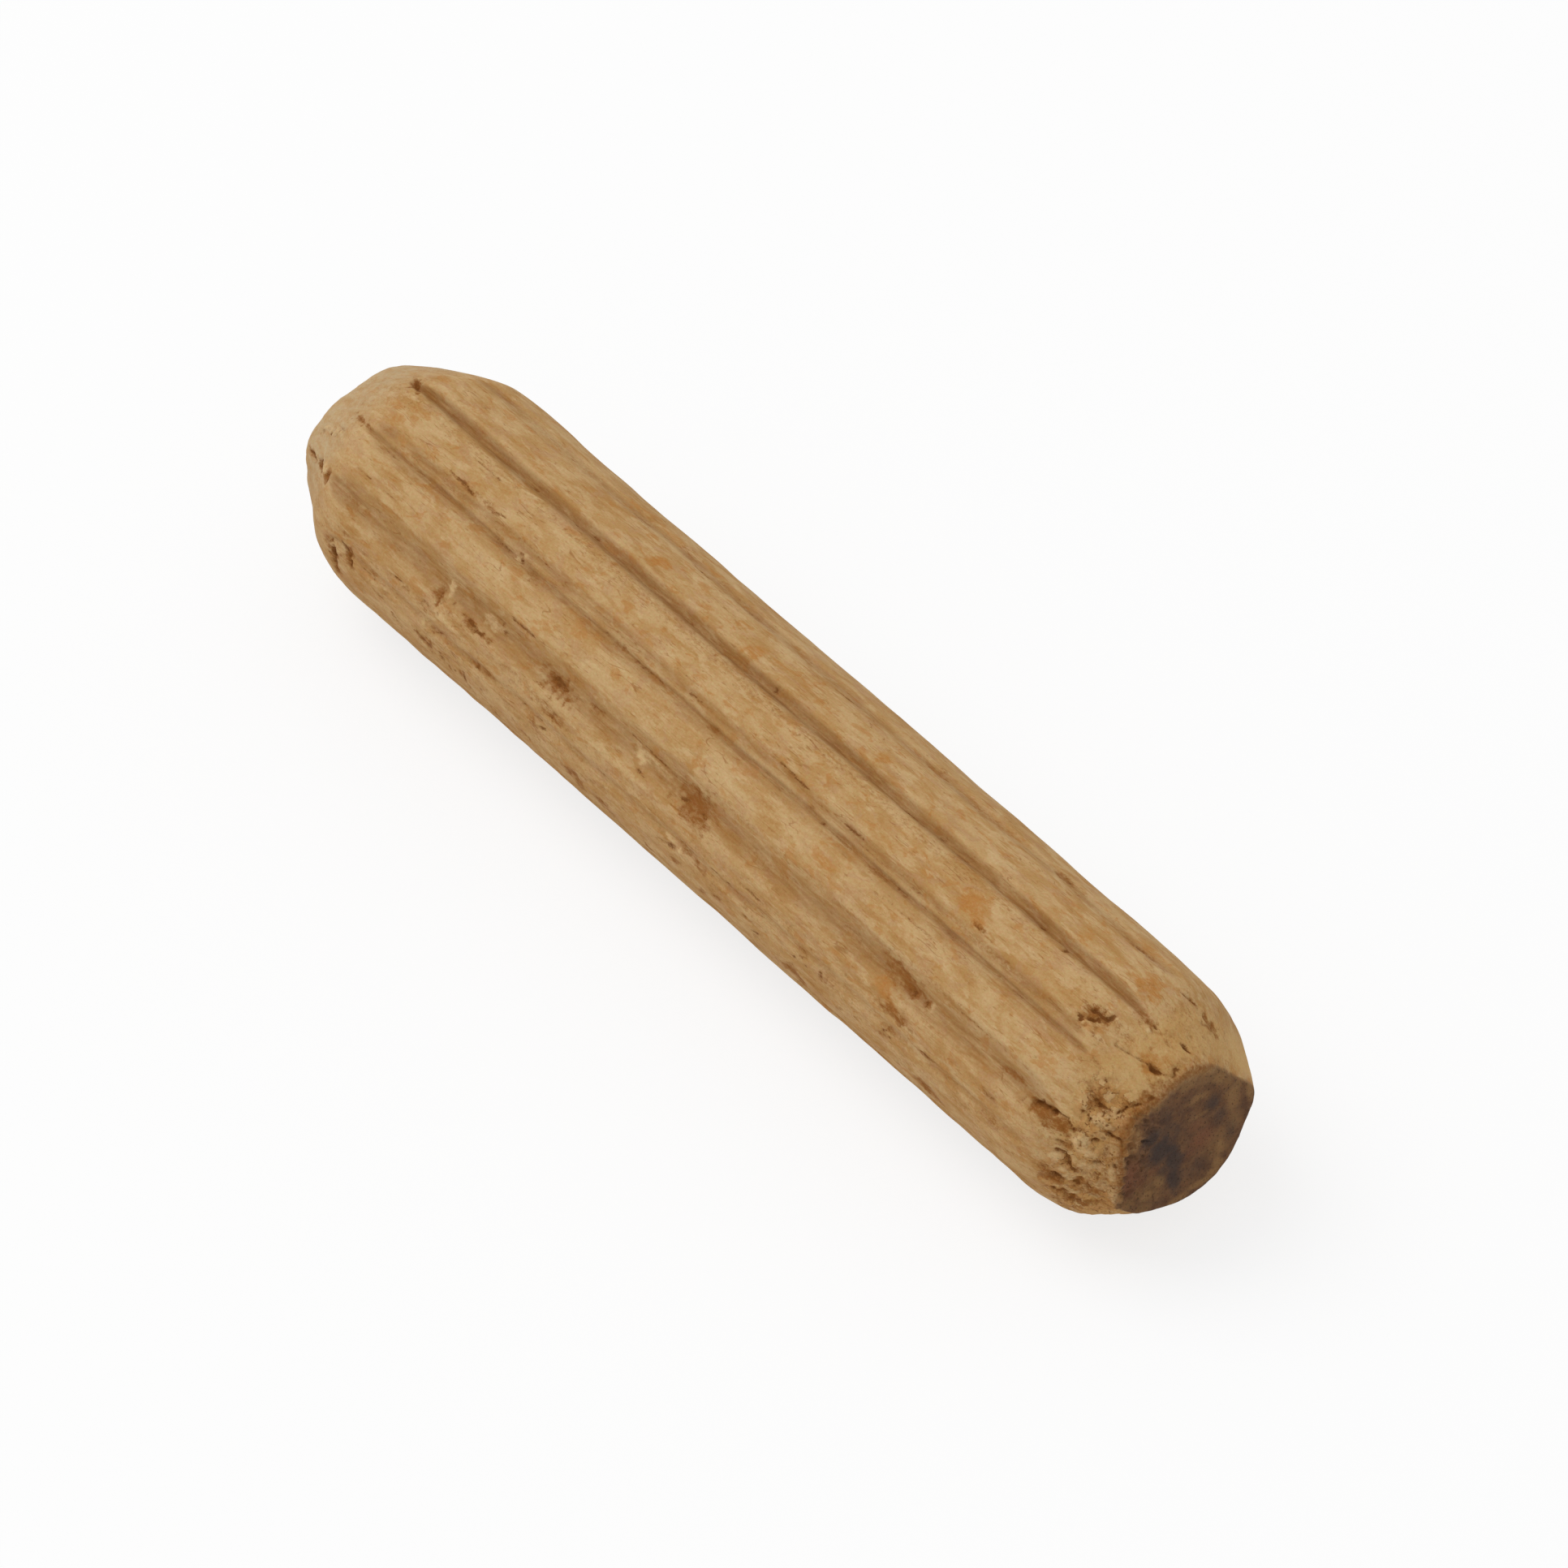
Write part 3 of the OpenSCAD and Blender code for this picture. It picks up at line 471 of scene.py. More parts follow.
# Fuzzy wood above it: where along the pin it sets in and is full, its share of the torn look, and
# what the far side adds, with the angles of that side
FUZZY_END = (17.9, 18.5)
FUZZY_SHARE = 0.13
FAR_FUZZY_SHARE = 0.15
FAR_SIDE = (2, 15)
# Share of the torn look that the rough side has all along the pin
ROUGH_SHARE = 0.22

# Distances under the trimmed face in mm at which its edge, its stain and the brown halo round it
# set in and are full
FACE_EDGE = (0.25, 0.02)
STAIN_EDGE = (0.2, 0.05)
HALO = (0.9, 0.15)
# Fraying of the stain's edge in mm
STAIN_FRAY = 0.03
# Place on the face where the stain is worn: across and up, height for its width, and fade, fray
# in mm, and share of the stain that has gone
WORN_PLACE = (-2.0, 1.25)
WORN_TALL = 1.4
WORN_FADE = (0.55, 0.3)
WORN_FRAY = 0.06
WORN_SHARE = 0.45
# Worn rim of the face: width in mm, what the upper rim adds, fray, and share of the stain gone
RIM_WIDE = 0.13
UPPER_RIM_WIDE = 0.25
RIM_FRAY = 0.08
RIM_WORN_SHARE = 0.8
# Brown of the worn rim, and of the halo on the left side and what the upper rim adds
RIM_BROWN = 0.75
HALO_BROWN = 0.266
UPPER_HALO_BROWN = 0.076

# Layers of the wood's colour, each a noise and its fade. The noise: length of its patches along
# the grain and width across it in mm, detail, roughness, twist and shift. The fade: the values
# between which a patch fades in, and the least and most that it shows, if not 0 and 1.
PATCHES = {
    "light": ((1.6, 0.65, 4, 0.62, 0.4, 0), (0.38, 0.62)),
    "streaks": ((2.2, 0.45, 3, 0.6, 0.4, 7), (0.52, 0.64)),
    "blush": ((0.9, 0.45, 3, 0.55, 0.6, 17), (0.53, 0.62)),
    "mottle": ((0.8, 0.42, 3, 0.55, 0.5, 11), (0.57, 0.66)),
    "cream": ((1.1, 0.36, 4, 0.6, 0.3, 19), (0.54, 0.64)),
    "hairs": ((1.3, 0.06, 3, 0.6, 0.3, 23), (0.54, 0.68)),
    "hairy places": ((2.2, 0.7, 2, 0.5, 0, 21), (0.45, 0.62, 0.1, 1)),
    "split places": ((0.9, 0.5, 2, 0.5, 0, 28), (0.52, 0.62)),
    "pores": ((0.4, 0.055, 2, 0.5, 0, 29), (0.62, 0.74)),
    "bleach": ((0.7, 0.3, 4, 0.7, 0.3, 47), (0.34, 0.66)),
    # Breaks up the grime and painted shade of the flutes
    "dirty and shaded places": ((1.2, 0.14, 4, 0.65, 0.4, 37), (0.3, 0.68, 0.55, 1.2)),
    "clumps": ((0.6, 0.45, 2, 0.5, 0.3, 38), (0.38, 0.58, 0.3, 1)),
    "torn specks": ((0.13, 0.10, 2, 0.6, 0.3, 42), (0.43, 0.36)),
    "marked places": ((0.3, 0.12, 4, 0.7, 0.3, 44), (0.32, 0.58, 0.45, 1)),
    "grime": ((0.6, 0.5, 4, 0.7, 0, 41), (0.36, 0.64)),
    "face specks": ((0.08, 0.08, 1, 0.5, 0, 43), (0.61, 0.69)),
    "crumbs": ((0.09, 0.07, 2, 0.7, 0, 31), (0.3, 0.7)),
    "hues": ((0.10, 0.08, 2, 0.7, 0, 33), (0.3, 0.7)),
    "dull places": ((0.7, 0.2, 3, 0.6, 0, 53), (0.3, 0.7)),
}
# How strongly each layer covers the tone under it
STRENGTHS = {
    "streaks": 0.5, "blush": 0.45, "mottle": 0.5, "cream": 0.55, "hairs": 0.45, "splits": 0.5,
    "pores": 0.42, "nosed": 1.0, "trimmed": 0.6, "dirt_and_shade": 1.0, "torn": 0.42, "pale chips": 0.48,
    "brown chips": 0.5, "chip edges": 0.22, "torn specks": 0.85, "warm": 0.85, "pale": 0.7,
    "brown": 0.95, "dark rim": 0.65, "dark": 0.75, "face patches": 0.8, "face specks": 0.55,
}
# Mottling of the sound wood, in the order it is laid: each layer and its colour
MOTTLING = {"streaks": "olive", "blush": "blush", "mottle": "warm", "cream": "cream"}
# Nosed end: where its wood sets in and is full, and how much its two colours cover where it is
# least and most bleached
NOSED_WOOD = (-16.6, -18.6)
NOSED_SHARES = {"olive": (0.35, 0.15), "chalk": (0.32, 0.72)}
# Painted light that lightens the trimmed chamfer: where it begins, is full, stops being full and ends
TRIMMED_CHAMFER_LIGHT = (18.0, 18.8, 19.4, 19.9)
# Fraying of the marks: its push, and the middle and half width of the edge that it leaves
FRAYS = {
    "warm": (1.1, 0.5, 0.36), "pale": (1.2, 0.5, 0.36), "brown": (1.5, 0.5, 0.36),
    "dark rim": (0.9, 0.5, 0.495), "dark": (1.9, 0.6, 0.225), "face patches": (0.45, 0.5, 0.495),
}
# Noises without a fade
FRAY_GRAIN = (0.16, 0.10, 4, 0.75, 0, 67)
SPLIT_GRAIN = (2.6, 0.35, 2, 0.5, 0.6, 27)
FIBRE_GRAIN = (0.8, 0.06, 3, 0.6, 0, 59)
CRUMB_GRAIN = (0.12, 0.10, 2, 0.5, 0, 61)
TORN_GRAIN = (0.2, 0.16, 3, 0.6, 0.8, 39)
# Each noise's shift is taken this far along each axis, so that no two layers fall together
SHIFT_WAY = (1, 1.7, 0.6)
# Splits: the noise value they follow, and how far from it they fade out and are full
SPLIT_LINE = (0.5, 0.012, 0.0036)
# Chips of the torn wood: length, width and shift, how finely their edges bend, and which of them
# a layer takes, by their own number or by the distance to their edge
CHIP_SPREAD = (0.34, 0.3, 45)
CHIP_BEND = 2.6
CHIP_FADES = {"pale chips": (0.6, 0.95), "brown chips": (0.45, 0.1), "chip edges": (0.07, 0)}
# Heights of the crumbs, the chips and the torn grain, for a height of 1 of the fibres
CRUMB_HEIGHT = 0.4
CHIP_HEIGHT = 2.5
TORN_HEIGHT = 3.2
# The finest grain, and the shades that multiply the colour where it is lowest and highest
FINE_GRAIN = {
    "crumbs": ((0.965, 0.915, 0.885), (1.035, 1.08, 1.115)),
    "hues": ((1.025, 0.975, 1.01), (0.975, 1.025, 0.99)),
}


class Mark(NamedTuple):
    """A mark on the wood, with its size in mm and its turn from the grain in degrees."""
    x: float
    angle: float
    long: float
    wide: float
    strength: float
    turn: float = 0

    def reach(self, at, near):
        """How far off each place near the mark is, where 1 is the mark's edge."""
        along = at.x[near] - self.x
        across = np.radians(angle_from(at.angle[near], self.angle))
        across = across * np.maximum(at.r[near], LEAST_RADIUS)
        c, s = math.cos(math.radians(self.turn)), math.sin(math.radians(self.turn))
        u = (along * c + across * s) / (self.long / 2)
        v = (across * c - along * s) / (self.wide / 2)
        return np.sqrt(u * u + v * v)


def paint(red, green, blue):
    """A colour in Blender's linear values, from sRGB display values of 0 to 255."""
    return tuple((v / 255 / 12.92) if v <= 10 else ((v / 255 + 0.055) / 1.055) ** 2.4
                 for v in (red, green, blue))


def length(name, description, default):
    """A setting in metres."""
    return FloatProperty(name=name, description=description, default=default,
                         subtype="DISTANCE", unit="LENGTH", precision=5)


def colour(name, description, default):
    """A setting with a colour picker."""
    return FloatVectorProperty(name=name, description=description, default=default,
                               subtype="COLOR", size=3, min=0, max=1)


def share(name, description, default, high=1):
    """A setting from 0 up."""
    return FloatProperty(name=name, description=description, default=default, min=0,
                         soft_max=high)


class PinShape(PropertyGroup):
    """Sizes of the turned and fluted pin."""
    pin_length: length("Length", "From end face to end face", CAD_HIGH.x - CAD_LOW.x)
    pin_d: length("Diameter", "Over the lands", CAD_HIGH.y - CAD_LOW.y)
    trim_face_d: length("Trimmed face", "Diameter of the end face at +X", 5.1 * MM)
    trim_chamfer: length("Trimmed chamfer", "Its length along the pin", 2.1 * MM)
    trim_rim: length("Trimmed rim", "Radius of the edge round the end face", 0.22 * MM)
    nose_face_d: length("Nosed face", "Diameter of the end face at -X", 4.5 * MM)
    nose_chamfer: length("Nosed chamfer", "Its length along the pin", 3.2 * MM)
    nose_rim: length("Nosed rim", "Radius of the edge round the end face", 1.4 * MM)
    shoulder: length("Shoulder", "Radius between chamfer and lands", 4 * MM)
    flute_depth: share("Flute depth", "Scales the depth of every flute", 1, 1.5)
    flute_wander: share("Flute wander", "How far flutes stray sideways, in degrees", 0.5, 2)
    rows: IntProperty(name="Rows", description="Mesh rows along the pin", default=322,
                      min=60, max=400)
    columns: IntProperty(name="Columns", description="Mesh columns round the pin", default=310,
                         min=60, max=400)

    @property
    def half(self):
        """Half the length in mm."""
        return self.pin_length / MM / 2

    @property
    def radius(self):
        """Radius over the lands in mm."""
        return self.pin_d / MM / 2

    @property
    def face_radius(self):
        """Radius of the trimmed face in mm."""
        return self.trim_face_d / MM / 2


class PinWear(PropertyGroup):
    """How worn and torn the wood is."""
    lumps: length("Lumps", "Height of the soft unevenness of the lands", 0.022 * MM)
    fibres: length("Fibres", "Height of the fibres that stand out", 0.005 * MM)
    torn: length("Torn end", "Height of the torn wood at the trimmed rim", 0.05 * MM)
    sawn: length("Saw marks", "Height of the saw marks on the trimmed face", 0.014 * MM)
    mark_depth: share("Mark depth", "Scales the depth of dents and pits", 1, 2)
    mark_tint: share("Mark tint", "Scales the colour of marks", 1, 1.5)


class WoodFinish(PropertyGroup):
    """Colours and sheen of the wood."""
    body: colour("Wood", "The middle tone", paint(178, 138, 86))
    light: colour("Light wood", "Paler patches of the middle tone", paint(191, 157, 109))
    olive: colour("Streaks", "Broad darker streaks", paint(164, 118, 62))
    deep: colour("Deep fibres", "Hairs of denser wood", paint(156, 106, 55))
    warm: colour("Ray flecks", "Orange flecks and mottling", paint(173, 117, 56))
    blush: colour("Blush", "Pinkish grey mottling", paint(178, 138, 99))
    # Colour of the flutes' darkening: grime and painted shade together
    dirt_and_shade: colour("Flute dirt", "Grime in the flutes", paint(126, 80, 34))
    brown: colour("Stain", "Brown stains", paint(134, 82, 32))
    dark: colour("Pits", "Floor of pits and pores", paint(104, 60, 20))
    cream: colour("Cream", "Cream patches", paint(198, 167, 121))
    pale: colour("Torn fibres", "Fresh torn fibres", paint(208, 177, 128))
    chalk: colour("Nosed end", "Paler, greyer wood of the nosed end", paint(184, 162, 127))
    # Painted light: a lighter colour laid on the trimmed chamfer, standing in for light that falls on it
    trimmed: colour("Trimmed chamfer", "Fresher wood of the trimmed chamfer", paint(200, 162, 104))
    stain: colour("Trimmed face", "Dark stain of the trimmed face", paint(112, 80, 54))
    grime: colour("Deep stain", "Darker places of the stain", paint(92, 65, 47))
    speck: colour("Specks", "Near-black specks in the stain", paint(46, 34, 24))
    blotch: colour("Blotches", "Blue-black blotches in the stain", paint(59, 52, 50))
    rust: colour("Rust", "Reddish brown patches in the stain", paint(118, 77, 54))
    tan: colour("Worn stain", "Tan patches where the stain is thin", paint(138, 104, 66))
    roughness: share("Roughness", "Of the dry wood", 0.82)
    uneven: share("Uneven roughness", "How far the roughness strays", 0.1)
    gloss: share("Gloss", "Strength of the reflections", 0.1)
    bump: length("Grain height", "Height of the finest grain", 0.007 * MM)


class StageSet(PropertyGroup):
    """Floor, light and camera."""
    floor_size: length("Floor size", "Side of the square floor", 3)
    floor_colour: colour("Floor", "Plain pale floor", (0.94, 0.94, 0.94))
    floor_glow: share("Floor white", "Share of plain white that the camera sees", 0.78)
    sky: share("Sky", "Strength of the even light", 0.62, 2)
    lamp: FloatProperty(name="Lamp", description="Power of the big soft lamp in watts",
                        default=4, min=0)
    lamp_size: length("Lamp size", "Side of the square lamp", 0.7)
    lamp_place: FloatVectorProperty(name="Lamp place", description="Middle of the lamp",
                                    default=(-0.37, -0.23, 0.8), subtype="TRANSLATION",
                                    unit="LENGTH")
    camera_side: FloatVectorProperty(name="Camera side", description="From the pin to the camera",
                                     default=(0.57786, -0.42766, 0.69513), subtype="DIRECTION")
    camera_right: FloatVectorProperty(name="Camera right", description="To the right in the view",
                                      default=(0.61628, 0.78705, -0.02812),
                                      subtype="DIRECTION")
    camera_distance: length("Camera distance", "From the pin's middle", 558.74 * MM)
    camera_shift: FloatVectorProperty(name="Camera shift", default=(0.599 * MM, -0.214 * MM),
                                      description="Of the camera to the right and up", size=2)
    lens: FloatProperty(name="Lens", description="Focal length in millimetres", default=427.64)
    sensor: FloatProperty(name="Sensor", description="Width in millimetres", default=36)
    clip_near: length("Clip near", "Nothing nearer the camera shows", 10 * MM)
    clip_far: length("Clip far", "Nothing farther from the camera shows", 20)


def soft_step(low, high, value):
    """0 below low, 1 above high and smooth between; low may be the greater."""
    t = np.clip((value - low) / (high - low), 0, 1)
    return t * t * (3 - 2 * t)


def within(side, angle):
    """1 on a side of the pin, and smoothly 0 beyond it."""
    begin, full, last, end = side
    return soft_step(begin, full, angle) * soft_step(end, last, angle)


def angle_from(angle, centre):
    """Difference of two angles in degrees, from -180 to 180."""
    return (angle - centre + 180) % 360 - 180


def hills(u, v, seed, wrap=0):
    """Smooth random hills from -1 to 1, one to each unit of u and v. v wraps round."""
    base_u = math.floor(u.min())
    base_v = 0 if wrap else math.floor(v.min())
    tall = math.ceil(u.max()) - base_u + 2
    wide = wrap or math.ceil(v.max()) - base_v + 2
    heights = np.random.default_rng(seed).uniform(-1, 1, (tall, wide))
    i = np.floor(u).astype(int) - base_u
    j = np.floor(v).astype(int) - base_v
    du = soft_step(0, 1, u - np.floor(u))
    dv = soft_step(0, 1, v - np.floor(v))
    j0 = j % wide
    j1 = (j + 1) % wide
    near = heights[i, j0] * (1 - dv) + heights[i, j1] * dv
    far = heights[i + 1, j0] * (1 - dv) + heights[i + 1, j1] * dv
    return near * (1 - du) + far * du


def hills_round(at, layers):
    """Layers of hills over the outline and round the pin."""
    return sum(high * hills(at.travel / long, at.angle / 360 * count, seed, count)
               for high, long, count, seed in layers)


def hills_along(x, layers, flute):
    """Layers of hills along one flute, the same all across it."""
    return sum(high * hills(x / long, x * 0, seed + flute) for high, long, seed in layers)


def hills_across(face, layers):
    """Layers of hills on the trimmed face."""
    return sum(high * hills(face.across / size, face.up / size, seed)
               for high, size, seed in layers)


def graded(low, high, count, density):
    """count places from low to high, closer together where density is greater."""
    fine = np.linspace(low, high, FINE_STEPS)
    weight = density(fine)
    total = np.concatenate([[0], np.cumsum((weight[1:] + weight[:-1]) / 2)])
    return np.interp(np.linspace(0, total[-1], count), total, fine)


def round_corner(before, corner, after, radius, steps=60):
    """Points of the arc that rounds a corner between two straight runs."""
    back = (before - corner) / np.linalg.norm(before - corner)
    on = (after - corner) / np.linalg.norm(after - corner)
    half = math.acos(float(back @ on)) / 2
    inward = (back + on) / np.linalg.norm(back + on)
    centre = corner + inward * radius / math.sin(half)
    start = corner + back * radius / math.tan(half) - centre
    end = corner + on * radius / math.tan(half) - centre
    turn = math.pi - 2 * half
    t = np.linspace(0, 1, steps)[:, None]
    return centre + (np.sin((1 - t) * turn) * start + np.sin(t * turn) * end) / math.sin(turn)


def turned_outline(shape):
    """Half outline of the turned pin from pole to pole, as x and radius in mm, with rounds."""
    half, radius = shape.half, shape.radius
    corners = np.array([
        (-half, 0), (-half, shape.nose_face_d / MM / 2), (shape.nose_chamfer / MM - half, radius),
        (half - shape.trim_chamfer / MM, radius), (half, shape.face_radius), (half, 0),
    ])
    rounds = [shape.nose_rim / MM, shape.shoulder / MM, shape.shoulder / MM, shape.trim_rim / MM]
    points = [corners[:1]]
    for i, arc in enumerate(rounds, 1):
        points.append(round_corner(corners[i - 1], corners[i], corners[i + 1], arc))
    points.append(corners[-1:])
    return np.concatenate(points)


def row_density(x, r):
    """How close the mesh rows stand: closer where marks are, wider on the flat of the nose."""
    density = PLAIN_ROWS + sum(more * soft_step(sets_in, full, x)
                               for sets_in, full, more in MORE_ROWS)
    busy = sum(np.exp(-((x - place) / BUSY_REACH) ** 2) for place in BUSY_PLACES)
    flat = soft_step(*NOSED_FLAT_R, r) * soft_step(*NOSED_FLAT, x)
    return density + BUSY_ROWS * busy + FLAT_ROWS * flat


def column_density(angle):
    """How close the mesh columns stand: closer on the seen side and in the hidden flutes."""
    seen = within(SEEN_SIDE, angle)
    flute = sum(np.exp(-(angle_from(angle, bowl[0]) / FLUTE_REACH) ** 2) for bowl in HIDDEN_BOWLS)
    return PLAIN_COLUMNS + SEEN_COLUMNS * seen + FLUTE_COLUMNS * np.minimum(flute, 1) * (1 - seen)


def sampled_outline(shape):
    """Rows of the mesh: place on the outline, x, radius and outward normal."""
    line = turned_outline(shape)
    steps = np.linalg.norm(np.diff(line, axis=0), axis=1)
    travel = np.concatenate([[0], np.cumsum(steps)])
    fine = np.linspace(0, travel[-1], FINE_STEPS)
    x = np.interp(fine, travel, line[:, 0])
    r = np.interp(fine, travel, line[:, 1])
    normal = np.stack([-np.gradient(r, fine), np.gradient(x, fine)], 1)
    blur = np.ones(NORMAL_BLUR) / NORMAL_BLUR
    normal = np.stack([np.convolve(np.pad(n, NORMAL_BLUR // 2, "edge"), blur, "valid")
                       for n in normal.T], 1)
    normal /= np.linalg.norm(normal, axis=1)[:, None]
    rows = graded(0, travel[-1], shape.rows,
                  lambda s: row_density(np.interp(s, fine, x), np.interp(s, fine, r)))
    return [rows] + [np.interp(rows, fine, values) for values in (x, r, *normal.T)]


def pin_places(shape):
    """Places of the turned pin, row by row: travel, angle, x, radius and outward normal."""
    rows, *outline = sampled_outline(shape)
    angles = graded(-180, 180, shape.columns + 1, column_density)[:-1]
    travel, angle = np.meshgrid(rows, angles, indexing="ij")
    x, r, out_x, out_r = (np.broadcast_to(v[:, None], angle.shape).copy() for v in outline)
    return SimpleNamespace(travel=travel, angle=angle, x=x, r=r, out_x=out_x, out_r=out_r)


def rim_radius(angle):
    """Distance of the trimmed face's rim from the axis at each angle, smooth through the points."""
    turned = np.array([a for a, _ in RIM] + [RIM[0][0] + 360], float)
    away = np.array([r for _, r in RIM])
    i = np.clip(np.searchsorted(turned, angle, "right") - 1, 0, len(RIM) - 1)
    t = (angle - turned[i]) / (turned[i + 1] - turned[i])
    last, here, on, beyond = (away[(i + step) % len(RIM)] for step in (-1, 0, 1, 2))
    return here + t * ((on - last) + t * ((2 * last - 5 * here + 4 * on - beyond) +
                                          t * (3 * here - last - 3 * on + beyond))) / 2


def skew_rim(at, shape):
    """Trims the face a little askew, so that its rim isn't round."""
    edge = rim_radius(at.angle) - shape.face_radius
    on_chamfer = (shape.radius - at.r) / (shape.radius - shape.face_radius)
    moved = np.where(at.r < shape.face_radius, at.r / shape.face_radius,
                     np.clip(on_chamfer, 0, 1))
    at.r = at.r + edge * moved * (at.x > shape.half - shape.trim_chamfer / MM)


def flute_depths(at, shape):
    """Depth of the flutes below the lands in mm, and their grime and painted shade, per place."""
    depth = np.zeros_like(at.x)
    # grime holds the darkening of the flutes: grime and painted shade together
    grime = np.zeros_like(at.x)
    for flute, (centre, deep, ahead, behind, dirty) in enumerate(SEEN_BOWLS + HIDDEN_BOWLS):
        wander = shape.flute_wander * hills_along(at.x, WANDER, flute)
        off = angle_from(at.angle, centre + wander)
        side = np.abs(off) / np.where(off > 0, ahead, behind)
        bowl = (1 - np.minimum(side, 1) ** 1.8) ** 1.5
        bowl *= 1 + hills_along(at.x, FLUTE_RISE, flute)
        depth += deep * bowl
        grime += dirty * bowl
    return depth * shape.flute_depth, grime


def cut_flutes(at, shape):
    """Cuts the flutes, which run out into the chamfers; returns their grime and painted shade."""
    drop = shape.radius - np.minimum(at.r, shape.radius)
    flutes, grime = flute_depths(at, shape)
    cut = np.maximum(flutes - RUN_OUT * drop, 0)
    cut = cut * cut / (cut + SOFT_LIP)
    at.r = at.r - cut
    return np.clip(grime * soft_step(0, GRIME_AND_SHADE_DEPTH, cut), 0, 1)


def uneven_depths(at):
    """Depth of the flats and swellings of the blank."""
    depth = np.zeros_like(at.x)
    for place, turned, long, wide, deep in UNEVEN:
        across = np.radians(angle_from(at.angle, turned)) * BLANK_RADIUS
        away = np.sqrt((2 * (at.x - place) / long) ** 2 + (2 * across / wide) ** 2)
        depth += deep * soft_step(*FLAT_FADE, away)
    return depth


def gash_marks():
    """The runs of the gashes as straight marks, end to end."""
    marks = []
    for wide, strength, path in GASHES:
        for (x0, a0), (x1, a1) in zip(path, path[1:]):
            across = math.radians(a1 - a0) * GASH_RADIUS
            long = math.hypot(x1 - x0, across) + wide
            turn = math.degrees(math.atan2(across, x1 - x0))
            marks.append(Mark((x0 + x1) / 2, (a0 + a1) / 2, long, wide, strength, turn))
    return marks


def lay_marks(at, tear):
    """Depth in mm and tints that all the marks make together."""
    depth = np.zeros_like(at.x)
    tints = {tint: np.zeros_like(at.x) for tint in TINTS}
    for kind, marks in {**MARKS, "gash": gash_marks()}.items():
        deep, soft, ragged, tint = KINDS[kind]
        for mark in (Mark(*values) for values in marks):
            near = np.abs(at.x - mark.x) < mark.long + mark.wide + MARK_MARGIN
            away = mark.reach(at, near) * (1 + ragged * tear[near])
            strength = mark.strength * soft_step(1 + soft, 1 - soft, away)
            depth[near] += deep * strength
            tints[tint][near] = np.maximum(tints[tint][near], strength)
    return depth, tints


def torn_area(at):
    """1 where the fibres of the trimmed end are torn, and 0 elsewhere."""
    sets_in, full = (TORN_START + fade for fade in TORN_FADE)
    nearer = TORN_LOWER * soft_step(*LOWER_SIDE, at.angle)
    return within(TORN_SIDE, at.angle) * soft_step(sets_in, full, at.x + nearer)


def wood_heights(at, wear, tear):
    """Height in mm of the lumps, the fibres that stand out and the torn wood."""
    lumps = wear.lumps / MM * hills_round(at, LUMPS)
    fibres = wear.fibres / MM * hills_round(at, FIBRES)
    fibres = fibres * (1 + MORE_FIBRES * within(ROUGH_SIDE, at.angle))
    chips = hills_round(at, CHIPS) + CHIP_TEAR * tear
    lost = LOST_DEPTH * soft_step(*LOST_CHIPS, chips)
    torn = CHIP_SWELL * chips + soft_step(*RAISED_CHIPS, chips) - lost
    return lumps + fibres + wear.torn / MM * torn * torn_area(at)


def saw_heights(face, wear):
    """Height in mm of the saw marks on the trimmed face."""
    wide, tall, long, seed = SAW_MARKS
    waves = face.across / wide + face.up / tall
    return wear.sawn / MM * hills(waves, face.up / long - face.across / long, seed)


def end_face(at, shape):
    """The trimmed face: how far under it, across and up each place is, and 1 for those on it."""
    turned = np.radians(at.angle)
    below = shape.half - at.x
    return SimpleNamespace(below=below, across=at.r * np.sin(turned), up=at.r * np.cos(turned),
                           on=soft_step(*FACE_EDGE, below))


def lay_end_stain(tints, at, face, tear):
    """Adds the stain of the trimmed face, which is worn at its left rim, and the halo round it."""
    upper = within(UPPER_RIM, at.angle)
    left = within(LEFT_RIM, at.angle)
    wide = RIM_WIDE + UPPER_RIM_WIDE * upper + RIM_FRAY * tear
    worn_rim = left * soft_step(wide, 0, rim_radius(at.angle) - at.r)
    stain = soft_step(*STAIN_EDGE, face.below - STAIN_FRAY * tear)
    away = np.hypot(face.across - WORN_PLACE[0], (face.up - WORN_PLACE[1]) / WORN_TALL)
    worn = WORN_SHARE * soft_step(*WORN_FADE, away + WORN_FRAY * tear)
    tints["stain"] = stain * (1 - RIM_WORN_SHARE * worn_rim) * (1 - worn)
    halo = soft_step(*HALO, face.below) * left * (HALO_BROWN + UPPER_HALO_BROWN * upper)
    for brown in (halo, RIM_BROWN * worn_rim * face.on):
        tints["brown"] = np.maximum(tints["brown"], brown)


def lay_face_patches(tints, face):
    """Adds the patches of the stained end face to the tints."""
    ragged = 1 + PATCH_FRAY * hills_across(face, FACE_FRAY)
    for tint, patches in FACE_PATCHES.items():
        for strength, y, z, wide, tall in patches:
            away = np.hypot((face.across - y) / wide * 2, (face.up - z) / tall * 2)
            patch = strength * soft_step(*PATCH_FADE, away * ragged) * face.on
            tints[tint] = np.maximum(tints[tint], patch)


def rough_places(at):
    """How torn, fuzzy or rough the wood looks, from 0 to 1."""
    fuzzy = soft_step(*FUZZY_END, at.x) * within(FUZZY_SIDE, at.angle)
    fuzzy = fuzzy * (FUZZY_SHARE + FAR_FUZZY_SHARE * soft_step(*FAR_SIDE, at.angle))
    rough = ROUGH_SHARE * within(ROUGH_SIDE, at.angle)
    return np.clip(torn_area(at) + fuzzy + rough, 0, 1)


